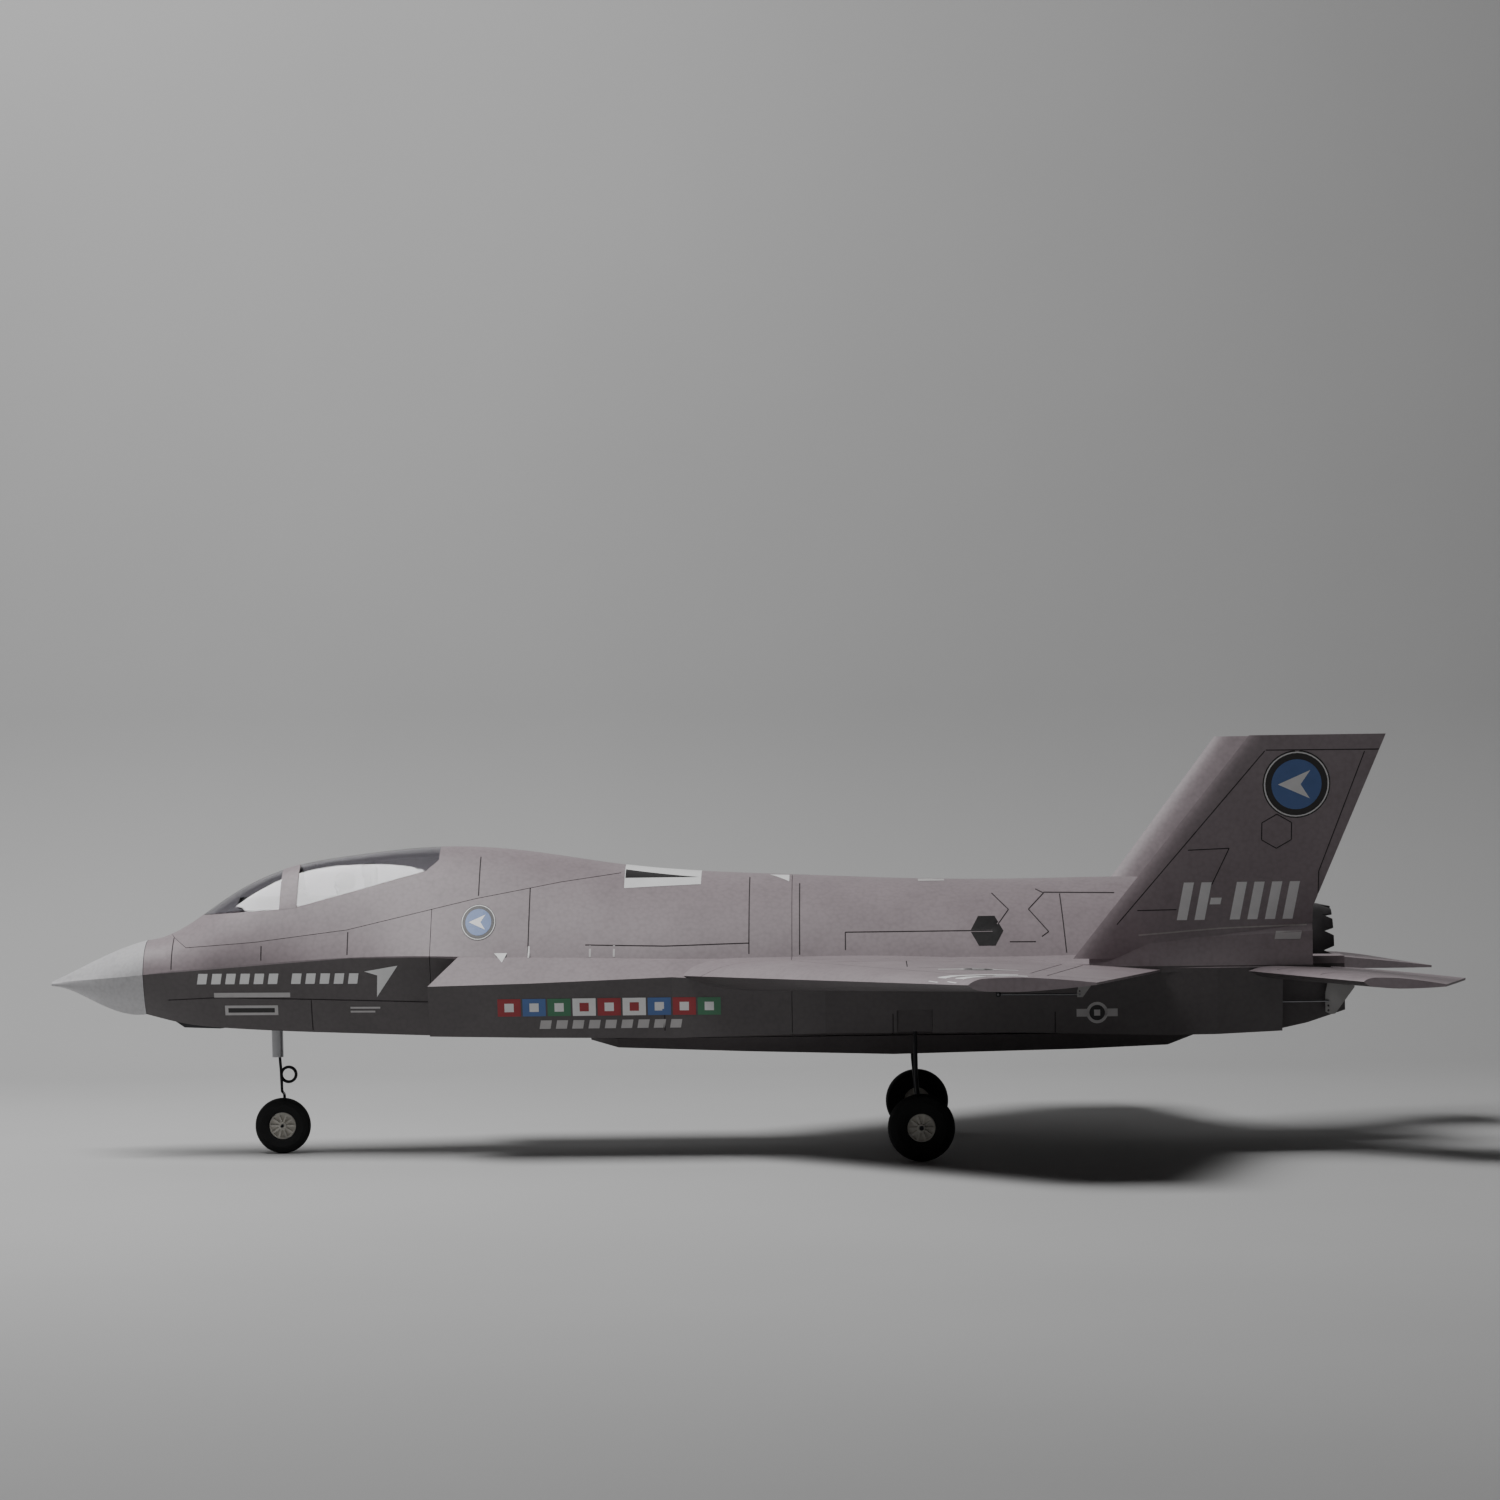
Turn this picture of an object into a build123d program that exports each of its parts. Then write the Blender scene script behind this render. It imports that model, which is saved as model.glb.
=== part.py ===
"""Foam ducted-fan jet aeroplane model on fixed wire undercarriage.

Frame: millimetres, nose towards -X, right-hand wing towards +Y, up +Z. The wheels stand on z = 0 and
Y = 0 is the plane of symmetry. Paired pieces are modelled on the +Y side and mirrored for the left.
"""

import math
import os

from build123d import *

# ---------------------------------------------------------------- driving dimensions
SEAM = 0.4  # gap between neighbouring foam mouldings
FIT = 0.05  # radial clearance of a turning shaft

NOSE_TIP_X = -535.0
NOSE_JOINT_X = -460.0
INTAKE_X = -237.0
REAR_JOINT_X = 35.4
CORE_END_X = 418.0

# Fuselage core stations: x, bottom height, bottom half-width, chine half-width, chine height,
# shoulder half-width, shoulder height, crown height.
CORE_STATIONS = (
    (-460.0, 108.6, 15.0, 33.0, 139.5, 21.0, 158.5, 164.9),
    (-441.0, 104.0, 21.0, 37.0, 141.8, 23.0, 162.5, 169.9),
    (-421.0, 100.5, 27.0, 40.8, 143.6, 24.5, 171.5, 181.5),
    (-396.0, 98.2, 31.0, 45.0, 145.6, 28.0, 183.5, 198.6),
    (-350.0, 95.6, 36.0, 53.5, 149.0, 35.0, 190.0, 219.3),
    (-300.0, 93.8, 42.0, 64.0, 152.0, 42.0, 192.0, 228.2),
    (-236.0, 91.6, 48.0, 80.0, 153.0, 50.0, 194.0, 233.8),
    (-165.0, 89.8, 51.0, 85.0, 150.5, 56.0, 190.0, 229.4),
    (-95.0, 88.6, 54.0, 88.0, 147.0, 61.0, 184.0, 218.6),
    (REAR_JOINT_X, 88.5, 56.0, 92.0, 141.0, 66.0, 178.0, 209.2),
    (140.0, 88.5, 56.0, 93.0, 139.5, 66.0, 176.0, 204.6),
    (240.0, 88.5, 54.0, 91.0, 140.0, 61.0, 177.0, 204.0),
    (340.0, 88.5, 46.0, 76.0, 141.5, 50.0, 175.0, 200.0),
    (CORE_END_X, 100.5, 27.0, 48.0, 143.0, 33.0, 172.5, 187.0),
)
SIDE_BULGE = 2.5

# Intake cheek stations: x, bottom height, bottom outer half-width, outer corner half-width and
# height, crease half-width and height.
CHEEK_STATIONS = (
    (-262.0, 94.0, 93.0, 108.0, 131.0, 83.0, 153.0),
    (-160.0, 91.8, 96.5, 110.0, 133.0, 87.0, 151.0),
    (-54.0, 90.6, 100.0, 110.5, 136.5, 92.0, 148.5),
    (60.0, 94.0, 120.0, 124.5, 130.0, 97.0, 147.0),
    (200.0, 93.0, 120.0, 125.0, 134.0, 98.0, 146.5),
    (312.0, 89.5, 119.0, 126.2, 139.5, 100.0, 146.5),
    (350.0, 89.9, 120.0, 130.5, 139.5, 102.0, 146.5),
    (398.0, 91.8, 118.0, 131.0, 139.5, 104.0, 146.5),
)
CHEEK_INNER_Y = 40.0
LIP_POINT = (-236.7, 109.0, 132.0)
LIP_NORMAL = (0.8145, 0.5425, -0.2056)

# Intake duct stations: x and the four corners (y, z), lower inner corner first.
DUCT_STATIONS = (
    (-262.0, (54.5, 97.8), (90.5, 97.8), (104.0, 130.5), (80.5, 147.5)),
    (-205.0, (54.5, 97.8), (91.5, 97.0), (105.0, 132.0), (82.0, 147.5)),
    (-130.0, (47.0, 98.5), (88.0, 97.5), (101.0, 132.0), (76.0, 148.5)),
    (-50.0, (29.0, 103.0), (64.0, 101.0), (74.0, 140.0), (52.0, 160.0)),
    (32.0, (0.5, 107.0), (25.0, 113.0), (28.0, 163.0), (0.5, 172.0)),
)
DUCT_CORNER_R = 6.0

# Side-view line where the lift-off hatch parts from the fuselage.
HATCH_SEAM = (
    (-441.0, 169.7), (-427.0, 160.0), (-373.0, 164.0), (-302.0, 172.8),
    (-205.0, 195.0), (-140.0, 206.7), (-95.0, 212.7),
)
# Side-view line along the lower edge of the clear canopy.
GLASS_EDGE = (
    (-415.0, 184.0), (-345.0, 189.0), (-296.0, 201.8), (-243.0, 216.2), (-234.0, 224.0),
)
GLASS_THICKNESS = 1.2

BAY_HALF_WIDTH, BAY_FLOOR_Z = 24.0, 104.0
BAY_FRONT_X, BAY_REAR_X = -404.0, -102.0

FAN_X, FAN_Z = 60.0, 140.0
FAN_BORE_R = 32.2
FAN_SHROUD_R = 35.6
FAN_LENGTH = 40.0
FAN_BLADES = 11
ROTOR_R = 31.6
SPINNER_R = 15.0
MOTOR_R, MOTOR_LENGTH = 13.8, 34.0
TUBE_WALL = 0.7
TUBE_END_R = 32.5
NOZZLE_Z, NOZZLE_R = 143.5, 38.5
NOZZLE_START_X, NOZZLE_END_X = 410.0, 445.0
NOZZLE_PETALS = 15

# Wing: leading edge sweeps back and the trailing edge sweeps forward.
WING_REF_Y, WING_TIP_Y = 99.0, 370.0
WING_JOINT_Y = 127.0
WING_LE_X, WING_LE_TIP_X = -54.0, 160.4
WING_TE_X, WING_TE_TIP_X = 314.5, 249.2
WING_REF_Z, WING_TIP_Z = 137.2, 140.4
WING_REF_T, WING_TIP_T = 26.0, 10.4
TRAILING_EDGE = 1.6
AIRFOIL_STEPS = 7
SPAR_X, SPAR_Z, SPAR_R = 112.0, 138.0, 4.0
SPAR_INNER_Y, SPAR_OUTER_Y = 82.0, 262.0

AILERON_IN = (253.0, 131.0)
AILERON_OUT = (219.0, 326.0)
AILERON_GAP = 0.5
LINKAGE_Y = 170.0
AILERON_ARM = 15.0
AILERON_ROD = 60.0

STAB_PIVOT = (432.0, 133.5)
STAB_PITCH = 3.2
STAB_ARM = 20.0
STAB_ROD = 50.0
STAB_ROOT_Y = 132.3
STAB_HORN_Y = 119.0
BOOM_SIDE_Y = 112.5
BOOM_INNER_Y, BOOM_END_X = 75.0, 445.0
BOOM_TOP_Z = 146.5
BOOM_STATIONS = ((390.0, 91.6), (417.0, 97.4), (BOOM_END_X, 106.5))  # x, bottom height

FIN_BASE_Z, FIN_KINK_Z, FIN_TOP_Z = 146.8, 184.0, 310.6

NOSE_LEG_X, NOSE_AXLE_X = -362.0, -358.4
NOSE_TYRE_R, NOSE_HUB_R, NOSE_TYRE_W = 21.2, 10.2, 15.0
MAIN_AXLE_X, MAIN_WHEEL_Y = 129.7, 140.0
MAIN_TYRE_R, MAIN_HUB_R, MAIN_TYRE_W = 24.8, 10.4, 17.0
MAIN_LEG_X, MAIN_LEG_Y = 126.0, 117.5
NOSE_WIRE_R, MAIN_WIRE_R = 1.1, 1.5
COIL_X, COIL_Z, COIL_R = -353.8, 60.3, 5.65
CRANK_T, CRANK_HUB_R, SHAFT_R = 1.6, 3.6, 2.2
PUSHROD_R, PIN_R, PIN_HOLE_R = 0.8, 0.7, 0.8
STEER_ARM = 13.0
STEER_Z = 133.0
STEER_SERVO_X = -324.0

os.makedirs("parts", exist_ok=True)


# ---------------------------------------------------------------- helpers
def save(piece, label):
    """Label one finished piece and write its STEP file."""
    piece.label = label
    export_step(piece, f"parts/{label}.step")


def save_pair(piece, label):
    """Write a right-hand piece and its mirror image for the left."""
    save(piece, f"right_{label}")
    with BuildPart() as twin:
        mirror(piece, about=Plane.XZ)
    save(twin.part, f"left_{label}")


def across(x):
    """The cross-section plane at station x: local x is Y, local y is Z."""
    return Plane.YZ.offset(x)


def along(y):
    """The side-view plane at y: local x is X, local y is Z."""
    return Plane.XZ.offset(-y)


def between(value, start, end, start_value, end_value):
    """Straight-line value between two ends."""
    return start_value + (end_value - start_value) * (value - start) / (end - start)


def core_section(station, inset=0.0):
    """Fuselage cross-section: flat belly, bowed lower sides, sharp chines and a domed back."""
    x, z_low, y_low, y_chine, z_chine, y_mid, z_mid, z_top = station
    low = (y_low - inset * 0.6, z_low + inset)
    chine = (y_chine - inset * 1.4, z_chine)
    shoulder = (y_mid - inset * 0.9, z_mid - inset * 0.5)
    crown = (0, z_top - inset)
    rise, run = chine[1] - low[1], chine[0] - low[0]
    length = math.hypot(rise, run)
    bow = (
        (low[0] + chine[0]) / 2 + SIDE_BULGE * rise / length,
        (low[1] + chine[1]) / 2 - SIDE_BULGE * run / length,
    )
    with BuildSketch(across(x)) as section:
        with BuildLine():
            Line((-low[0], low[1]), low)
            ThreePointArc(low, bow, chine)
            Spline(chine, shoulder, crown, (-shoulder[0], shoulder[1]), (-chine[0], chine[1]))
            ThreePointArc((-chine[0], chine[1]), (-bow[0], bow[1]), (-low[0], low[1]))
        make_face()
    return section.sketch


def cheek_section(station):
    """Cross-section of one intake cheek, buried in the core on its inner side."""
    x, z_low, y_low, y_corner, z_corner, y_crease, z_crease = station
    with BuildSketch(across(x)) as section:
        with BuildLine():
            Polyline(
                (CHEEK_INNER_Y, z_low),
                (y_low, z_low),
                (y_corner, z_corner),
                (y_crease, z_crease),
                (CHEEK_INNER_Y, z_crease + 8),
                close=True,
            )
        make_face()
    return section.sketch


def boom_section(x, z_low):
    """Box cross-section of the tail boom."""
    with BuildSketch(across(x)) as section:
        with Locations(((BOOM_INNER_Y + BOOM_SIDE_Y) / 2, (z_low + BOOM_TOP_Z) / 2)):
            Rectangle(BOOM_SIDE_Y - BOOM_INNER_Y, BOOM_TOP_Z - z_low)
    return section.sketch


def duct_section(station):
    """Rounded four-cornered cross-section of one intake duct."""
    x, *corners = station
    with BuildSketch(across(x)) as section:
        with BuildLine():
            Polyline(*corners, close=True)
        make_face()
        fillet(section.vertices(), DUCT_CORNER_R)
    return section.sketch


def airfoil(plane, x_front, x_back, middle, thickness, edge=TRAILING_EDGE):
    """Symmetrical four-digit aerofoil section with a blunt trailing edge."""
    chord = x_back - x_front
    points = []
    for step in range(AIRFOIL_STEPS, -AIRFOIL_STEPS - 1, -1):
        part = (1 - math.cos(math.pi * abs(step) / AIRFOIL_STEPS)) / 2
        half = 5 * (thickness - edge / 2) * (
            0.2969 * math.sqrt(part) - 0.126 * part - 0.3516 * part**2 + 0.2843 * part**3
            - 0.1036 * part**4
        ) + edge / 2 * part
        points.append((x_front + chord * part, middle + math.copysign(half, step)))
    with BuildSketch(plane) as section:
        with BuildLine():
            Spline(*points[: AIRFOIL_STEPS + 1])
            Spline(*points[AIRFOIL_STEPS:])
            Line(points[-1], points[0])
        make_face()
    return section.sketch


def wing_values(y):
    """Leading edge, trailing edge, height and thickness of the wing at y."""
    return (
        between(y, WING_REF_Y, WING_TIP_Y, WING_LE_X, WING_LE_TIP_X),
        between(y, WING_REF_Y, WING_TIP_Y, WING_TE_X, WING_TE_TIP_X),
        between(y, WING_REF_Y, WING_TIP_Y, WING_REF_Z, WING_TIP_Z),
        between(y, WING_REF_Y, WING_TIP_Y, WING_REF_T, WING_TIP_T),
    )


def wing_span(inner_y, outer_y):
    """Solid wing between two spanwise stations."""
    with BuildPart() as span:
        loft([airfoil(along(y), *wing_values(y)) for y in (inner_y, outer_y)])
    return span.part


def slab(outline, inner_y, outer_y):
    """Side-view outline (x, z) extruded from inner_y to outer_y."""
    with BuildPart() as block:
        with BuildSketch(along(inner_y)):
            with BuildLine():
                Polyline(*outline, close=True)
            make_face()
        extrude(amount=-(outer_y - inner_y))
    return block.part


def plan_slab(outline, low_z, high_z):
    """Plan-view outline (x, y) extruded from low_z to high_z."""
    with BuildPart() as block:
        with BuildSketch(Plane.XY.offset(low_z)):
            with BuildLine():
                Polyline(*outline, close=True)
            make_face()
        extrude(amount=high_z - low_z)
    return block.part


def box_between(low, high):
    """Plain box given by two opposite corners."""
    size = [b - a for a, b in zip(low, high)]
    middle = [(a + b) / 2 for a, b in zip(low, high)]
    return Pos(*middle) * Box(*size, mode=Mode.PRIVATE)


def rod(start, end, radius):
    """Round rod from one point to another."""
    with BuildPart() as bar:
        with BuildLine():
            Line(start, end)
        with BuildSketch(Plane(origin=start, z_dir=Vector(*end) - Vector(*start))):
            Circle(radius)
        sweep()
    return bar.part


def wire(points, radii, radius):
    """Bent round wire through the given points."""
    with BuildPart() as bent:
        with BuildLine() as path:
            FilletPolyline(*points, radius=radii)
        with BuildSketch(path.line ^ 0):
            Circle(radius)
        sweep()
    return bent.part


def servo(plane):
    """Small servo: case, ears and shaft boss; the plane's origin is on the shaft at the boss's end."""
    with BuildPart() as unit:
        with Locations(plane):
            with Locations((-5.8, 0, -15.6)):
                Box(23, 12, 23)
            with Locations((-5.8, 0, -8.9)):
                Box(32.2, 12, 2)
            with Locations((0, 0, -2.1)):
                Cylinder(5.9, 4)
            with Locations((0, 0, -0.1)):
                Cylinder(SHAFT_R, 3)
    return unit.part


def crank(plane, reach_x, reach_y, bore_r=SHAFT_R + FIT):
    """Lever on its own plane: a bored hub at the origin, a pin hole at (reach_x, reach_y)."""
    reach = math.hypot(reach_x, reach_y)
    with BuildPart() as lever:
        with BuildSketch(plane):
            Circle(CRANK_HUB_R)
            with Locations((reach_x / 2, reach_y / 2)):
                Rectangle(reach, 3.6, rotation=math.degrees(math.atan2(reach_y, reach_x)))
            with Locations((reach_x, reach_y)):
                Circle(1.8)
                Circle(PIN_HOLE_R, mode=Mode.SUBTRACT)
            Circle(bore_r, mode=Mode.SUBTRACT)
        extrude(amount=CRANK_T / 2, both=True)
    return lever.part


def pushrod(plane, start, end):
    """Wire link lying beside the cranks, with a pin turned through each of their holes."""
    near = [plane.from_local_coords((*point, CRANK_T / 2 + PUSHROD_R + 0.1)) for point in (start, end)]
    far = [plane.from_local_coords((*point, -CRANK_T / 2 - 0.6)) for point in (start, end)]
    with BuildPart() as link:
        add(rod(near[0], near[1], PUSHROD_R))
        for inside, outside in zip(near, far):
            add(rod(inside, outside, PIN_R))
    return link.part


def horn(plane, outline, holes):
    """Flat control horn drawn on its linkage plane, with a row of pin holes."""
    with BuildPart() as plate:
        with BuildSketch(plane):
            with BuildLine():
                Polyline(*outline, close=True)
            make_face()
            with Locations(holes):
                Circle(PIN_HOLE_R, mode=Mode.SUBTRACT)
        extrude(amount=CRANK_T / 2, both=True)
    return plate.part


def wheel(axle_x, axle_z, middle_y, tyre_r, hub_r, width, axle_r):
    """Moulded spoked hub and hollow-sided tyre of one wheel on a Y axle."""
    half = width / 2
    axle = Plane(origin=(axle_x, middle_y, axle_z), x_dir=(1, 0, 0), z_dir=(0, -1, 0))
    with BuildPart() as hub:
        with BuildSketch(axle):
            Circle(hub_r)
        extrude(amount=half * 0.55, both=True)
        with BuildSketch(axle):
            Circle(3.0)
        extrude(amount=half * 0.8, both=True)
        for face in (half * 0.55, -half * 0.55):
            with BuildSketch(axle.offset(face)):
                Circle(hub_r - 1.3)
                Circle(3.2, mode=Mode.SUBTRACT)
                with PolarLocations(0, 5):
                    Rectangle(2 * hub_r, 1.6, mode=Mode.SUBTRACT)
            extrude(amount=-math.copysign(1.6, face), mode=Mode.SUBTRACT)
        with BuildSketch(axle):
            Circle(axle_r + FIT)
        extrude(amount=width, both=True, mode=Mode.SUBTRACT)
    with BuildPart() as tyre:
        bead = (hub_r + 1.2, half * 0.74)
        wall = (tyre_r - 0.45 * (tyre_r - hub_r), half)
        with BuildSketch(Plane.XY):
            with BuildLine():
                Line((hub_r, -bead[1]), (hub_r, bead[1]))
                Line((hub_r, bead[1]), bead)
                Spline(bead, wall, (tyre_r, 0), (wall[0], -wall[1]), (bead[0], -bead[1]))
                Line((bead[0], -bead[1]), (hub_r, -bead[1]))
            make_face()
        revolve(axis=Axis.Y)
    return hub.part, Pos(axle_x, middle_y, axle_z) * tyre.part


# ---------------------------------------------------------------- outer shape of the fuselage
with BuildPart() as core:
    loft([core_section(place) for place in CORE_STATIONS])

with BuildPart() as core_lining:
    loft([core_section(place, inset=GLASS_THICKNESS) for place in CORE_STATIONS])

with BuildPart() as cheek:
    loft([cheek_section(place) for place in CHEEK_STATIONS], ruled=True)
    split(bisect_by=Plane(origin=LIP_POINT, z_dir=LIP_NORMAL), keep=Keep.TOP)

with BuildPart() as duct:
    loft([duct_section(place) for place in DUCT_STATIONS])

with BuildPart() as glove:
    add(wing_span(88.0, WING_JOINT_Y - SEAM))

with BuildPart() as boom_tail:
    loft([boom_section(*station) for station in BOOM_STATIONS], ruled=True)

with BuildPart() as side:
    add(cheek)
    add(glove)
    add(boom_tail)

with BuildPart() as hull:
    add(core)
    add(side)
    mirror(side.part, about=Plane.XZ)
    add(duct, mode=Mode.SUBTRACT)
    mirror(duct.part, about=Plane.XZ, mode=Mode.SUBTRACT)

# ---------------------------------------------------------------- cutting shapes
hatch_front, hatch_rear = HATCH_SEAM[0], HATCH_SEAM[-1]
above_seam = slab([*HATCH_SEAM, (hatch_rear[0], 300), (hatch_front[0] - 6, 300)], -150, 150)
with BuildPart() as seam_strip:
    for start, end in zip(HATCH_SEAM, HATCH_SEAM[1:]):
        add(slab([start, end, (end[0], end[1] - SEAM), (start[0], start[1] - SEAM)], -150, 150))
glass_front, glass_rear = GLASS_EDGE[0], GLASS_EDGE[-1]
above_glass = slab(
    [*GLASS_EDGE, (glass_rear[0] + 3, 300), (glass_front[0] - 12, 300), (glass_front[0] - 12, 183.5)],
    -80, 80,
)

with BuildPart() as cavities:
    with BuildSketch(across(24.0)):
        with Locations((0, FAN_Z)):
            Circle(FAN_SHROUD_R + FIT)
    extrude(amount=FAN_X + FAN_LENGTH + 2 - 24.0)
    with BuildSketch(across(FAN_X + FAN_LENGTH + 1)):
        with Locations((0, FAN_Z)):
            Circle(FAN_BORE_R + TUBE_WALL + 0.3)
    with BuildSketch(across(NOZZLE_START_X - 0.5)):
        with Locations((0, NOZZLE_Z)):
            Circle(TUBE_END_R + TUBE_WALL + 0.3)
    loft()
    with BuildSketch(across(NOZZLE_START_X - 1)):
        with Locations((0, NOZZLE_Z)):
            Circle(NOZZLE_R + 0.2)
    extrude(amount=20)
    add(box_between((FAN_X - 10, -38, 80), (FAN_X + FAN_LENGTH + 6, 38, FAN_Z)))

bay = box_between(
    (BAY_FRONT_X, -BAY_HALF_WIDTH, BAY_FLOOR_Z), (BAY_REAR_X, BAY_HALF_WIDTH, 300)
)
gear_pocket = box_between(
    (NOSE_LEG_X - 12.2, -10.2, 80), (NOSE_LEG_X + 12.2, 10.2, BAY_FLOOR_Z + 1)
)
cockpit_void = box_between((-388, -21, 188), (-262, 21, 300))

# ---------------------------------------------------------------- belly hatch over the fan
belly_top_z = 88.0
BELLY_STATIONS = (  # x, bottom height, bottom half-width, top half-width
    (-119.0, 86.0, 30.0, 36.0), (-98.0, 80.4, 40.0, 52.0), (0.0, 76.5, 42.0, 56.0),
    (110.0, 73.2, 44.0, 58.0), (250.0, 75.4, 42.0, 56.0), (318.0, 77.6, 38.0, 50.0),
    (338.0, 84.6, 32.0, 42.0),
)


def belly_section(x, z_low, y_low, y_top):
    """Cross-section of the belly hatch: flat bottom and leaning sides."""
    with BuildSketch(across(x)) as section:
        with BuildLine():
            Polyline((-y_low, z_low), (y_low, z_low), (y_top, belly_top_z), (-y_top, belly_top_z), close=True)
        make_face()
    return section.sketch


belly_screw_places = [(x, y) for x in (-60.0, 110.0, 280.0) for y in (-34.0, 34.0)]
with BuildPart() as belly_hatch:
    loft([belly_section(*station) for station in BELLY_STATIONS], ruled=True)
    with Locations([(x, y, 70.0) for x, y in belly_screw_places]):
        Cylinder(1.5, 60, mode=Mode.SUBTRACT)
        Cylinder(3.2, 26.2, mode=Mode.SUBTRACT)
save(belly_hatch.part, "belly_hatch")

with BuildPart() as belly_hatch_screws:
    with Locations([(x, y, 82.1) for x, y in belly_screw_places]):
        Cylinder(2.9, 2.0)
    with Locations([(x, y, 89.0) for x, y in belly_screw_places]):
        Cylinder(1.5, 12.0)
save(belly_hatch_screws.part, "belly_hatch_screws")

# ---------------------------------------------------------------- fuselage mouldings
with BuildPart() as hollow_hull:
    add(hull)
    add(above_seam, mode=Mode.SUBTRACT)
    add(seam_strip, mode=Mode.SUBTRACT)
    add(bay, mode=Mode.SUBTRACT)
    add(gear_pocket, mode=Mode.SUBTRACT)
    add(cavities, mode=Mode.SUBTRACT)
    add(belly_hatch_screws, mode=Mode.SUBTRACT)


def fuselage_length(start_x, end_x):
    """The part of the hollow hull between two stations."""
    with BuildPart() as piece:
        add(hollow_hull)
        add(box_between((start_x, -200, 0), (end_x, 200, 300)), mode=Mode.INTERSECT)
    return piece.part


sensor_outline = ((-444, 106), (-432, 97.8), (-404, 96.6), (-389, 99.4), (-389, 106))
with BuildPart() as sensor_window:
    add(slab(sensor_outline, -9, 9))
    chamfer(sensor_window.edges().group_by(Axis.Z)[0].filter_by(Axis.X, reverse=True), 1.2)
sensor_recess = slab(sensor_outline, -9, 9)

magnet_places = [(-413.0, -9.0), (-413.0, 9.0)]
with BuildPart() as bay_magnets:
    with Locations([(x, y, 158.0) for x, y in magnet_places]):
        Cylinder(3.0, 2.4)
save(bay_magnets.part, "bay_magnets")

with BuildPart() as front_fuselage:
    add(fuselage_length(NOSE_JOINT_X, INTAKE_X - SEAM))
    add(sensor_recess, mode=Mode.SUBTRACT)
    add(bay_magnets, mode=Mode.SUBTRACT)
save(front_fuselage.part, "front_fuselage")
save(sensor_window.part, "sensor_window")

with BuildPart() as centre_fuselage:
    add(fuselage_length(INTAKE_X, REAR_JOINT_X - SEAM))
save(centre_fuselage.part, "centre_fuselage")

# Stabilator servo bays open backwards into the stepped end of each boom.
stab_servo_x = STAB_PIVOT[0] - STAB_ROD
stab_servo_bay = box_between((stab_servo_x - 22.4, 90.8, 127.2), (stab_servo_x + 10.8, 118.3, 139.8))
stab_arm_slot = box_between((stab_servo_x - 11, 117.3, 108), (STAB_PIVOT[0], 122.2, 137.6))
stab_pivot_bore = rod((STAB_PIVOT[0], 86, STAB_PIVOT[1]), (STAB_PIVOT[0], 120, STAB_PIVOT[1]), 2.0 + FIT)
spar_bore = rod((SPAR_X, SPAR_INNER_Y, SPAR_Z), (SPAR_X, SPAR_OUTER_Y, SPAR_Z), SPAR_R + FIT)
main_mount_pocket = box_between((MAIN_LEG_X - 13.2, 106.8, 80), (MAIN_LEG_X + 13.2, 124.2, 110.2))
fin_outline = (
    (244.0, FIN_BASE_Z), (420.0, FIN_BASE_Z), (420.5, FIN_KINK_Z), (471.0, FIN_TOP_Z), (371.6, FIN_TOP_Z),
)

with BuildPart() as rear_fuselage:
    add(fuselage_length(REAR_JOINT_X, BOOM_END_X))
    for pocket in (stab_servo_bay, stab_arm_slot, stab_pivot_bore, spar_bore, main_mount_pocket):
        add(pocket, mode=Mode.SUBTRACT)
        mirror(pocket, about=Plane.XZ, mode=Mode.SUBTRACT)
save(rear_fuselage.part, "rear_fuselage")

with BuildPart() as nose_cone:
    joint_section = core_section((NOSE_JOINT_X - SEAM, *CORE_STATIONS[0][1:]))
    middle_section = core_section((-500.0, 117.8, 7.0, 18.5, 136.0, 11.0, 144.5, 150.3))
    front_section = core_section((-528.0, 130.2, 1.4, 4.4, 133.6, 2.6, 135.0, 136.8))
    tip_section = core_section((NOSE_TIP_X, 132.2, 0.3, 0.9, 132.9, 0.5, 133.3, 133.6), inset=0)
    loft([tip_section, front_section, middle_section, joint_section])
save(nose_cone.part, "nose_cone")

# ---------------------------------------------------------------- lift-off canopy hatch
with BuildPart() as hatch_magnets:
    with Locations([(x, y, 163.0) for x, y in magnet_places]):
        Cylinder(3.0, 2.4)
save(hatch_magnets.part, "hatch_magnets")

with BuildPart() as canopy_hatch:
    add(core)
    add(above_seam, mode=Mode.INTERSECT)
    add(above_glass, mode=Mode.SUBTRACT)
    add(cockpit_void, mode=Mode.SUBTRACT)
    add(hatch_magnets, mode=Mode.SUBTRACT)
save(canopy_hatch.part, "canopy_hatch")

with BuildPart() as canopy_glazing:
    add(core)
    add(above_glass, mode=Mode.INTERSECT)
    add(core_lining, mode=Mode.SUBTRACT)
save(canopy_glazing.part, "canopy_glazing")

with BuildPart() as cockpit_tub:
    add(box_between((-387.7, -20.7, 188.2), (-262.3, 20.7, 196.5)))
    add(box_between((-386.5, -19.5, 189.4), (-263.5, 19.5, 220)), mode=Mode.SUBTRACT)
    add(box_between((-386.5, -19.5, 189.4), (-344, 19.5, 193.5)))
    add(slab(((-351, 193.5), (-337, 193.5), (-337, 199.0), (-343, 201.5), (-351, 196.5)), -15, 15))
    add(core_lining, mode=Mode.INTERSECT)
save(cockpit_tub.part, "cockpit_tub")

with BuildPart() as ejection_seat:
    add(slab(((-316, 189.5), (-284, 189.5), (-282, 222), (-292, 222), (-295.5, 195), (-316, 195)), -9.5, 9.5))
    fillet(ejection_seat.edges().filter_by(Axis.Y).group_by(Axis.Z)[-1], 3.0)
save(ejection_seat.part, "ejection_seat")

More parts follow.
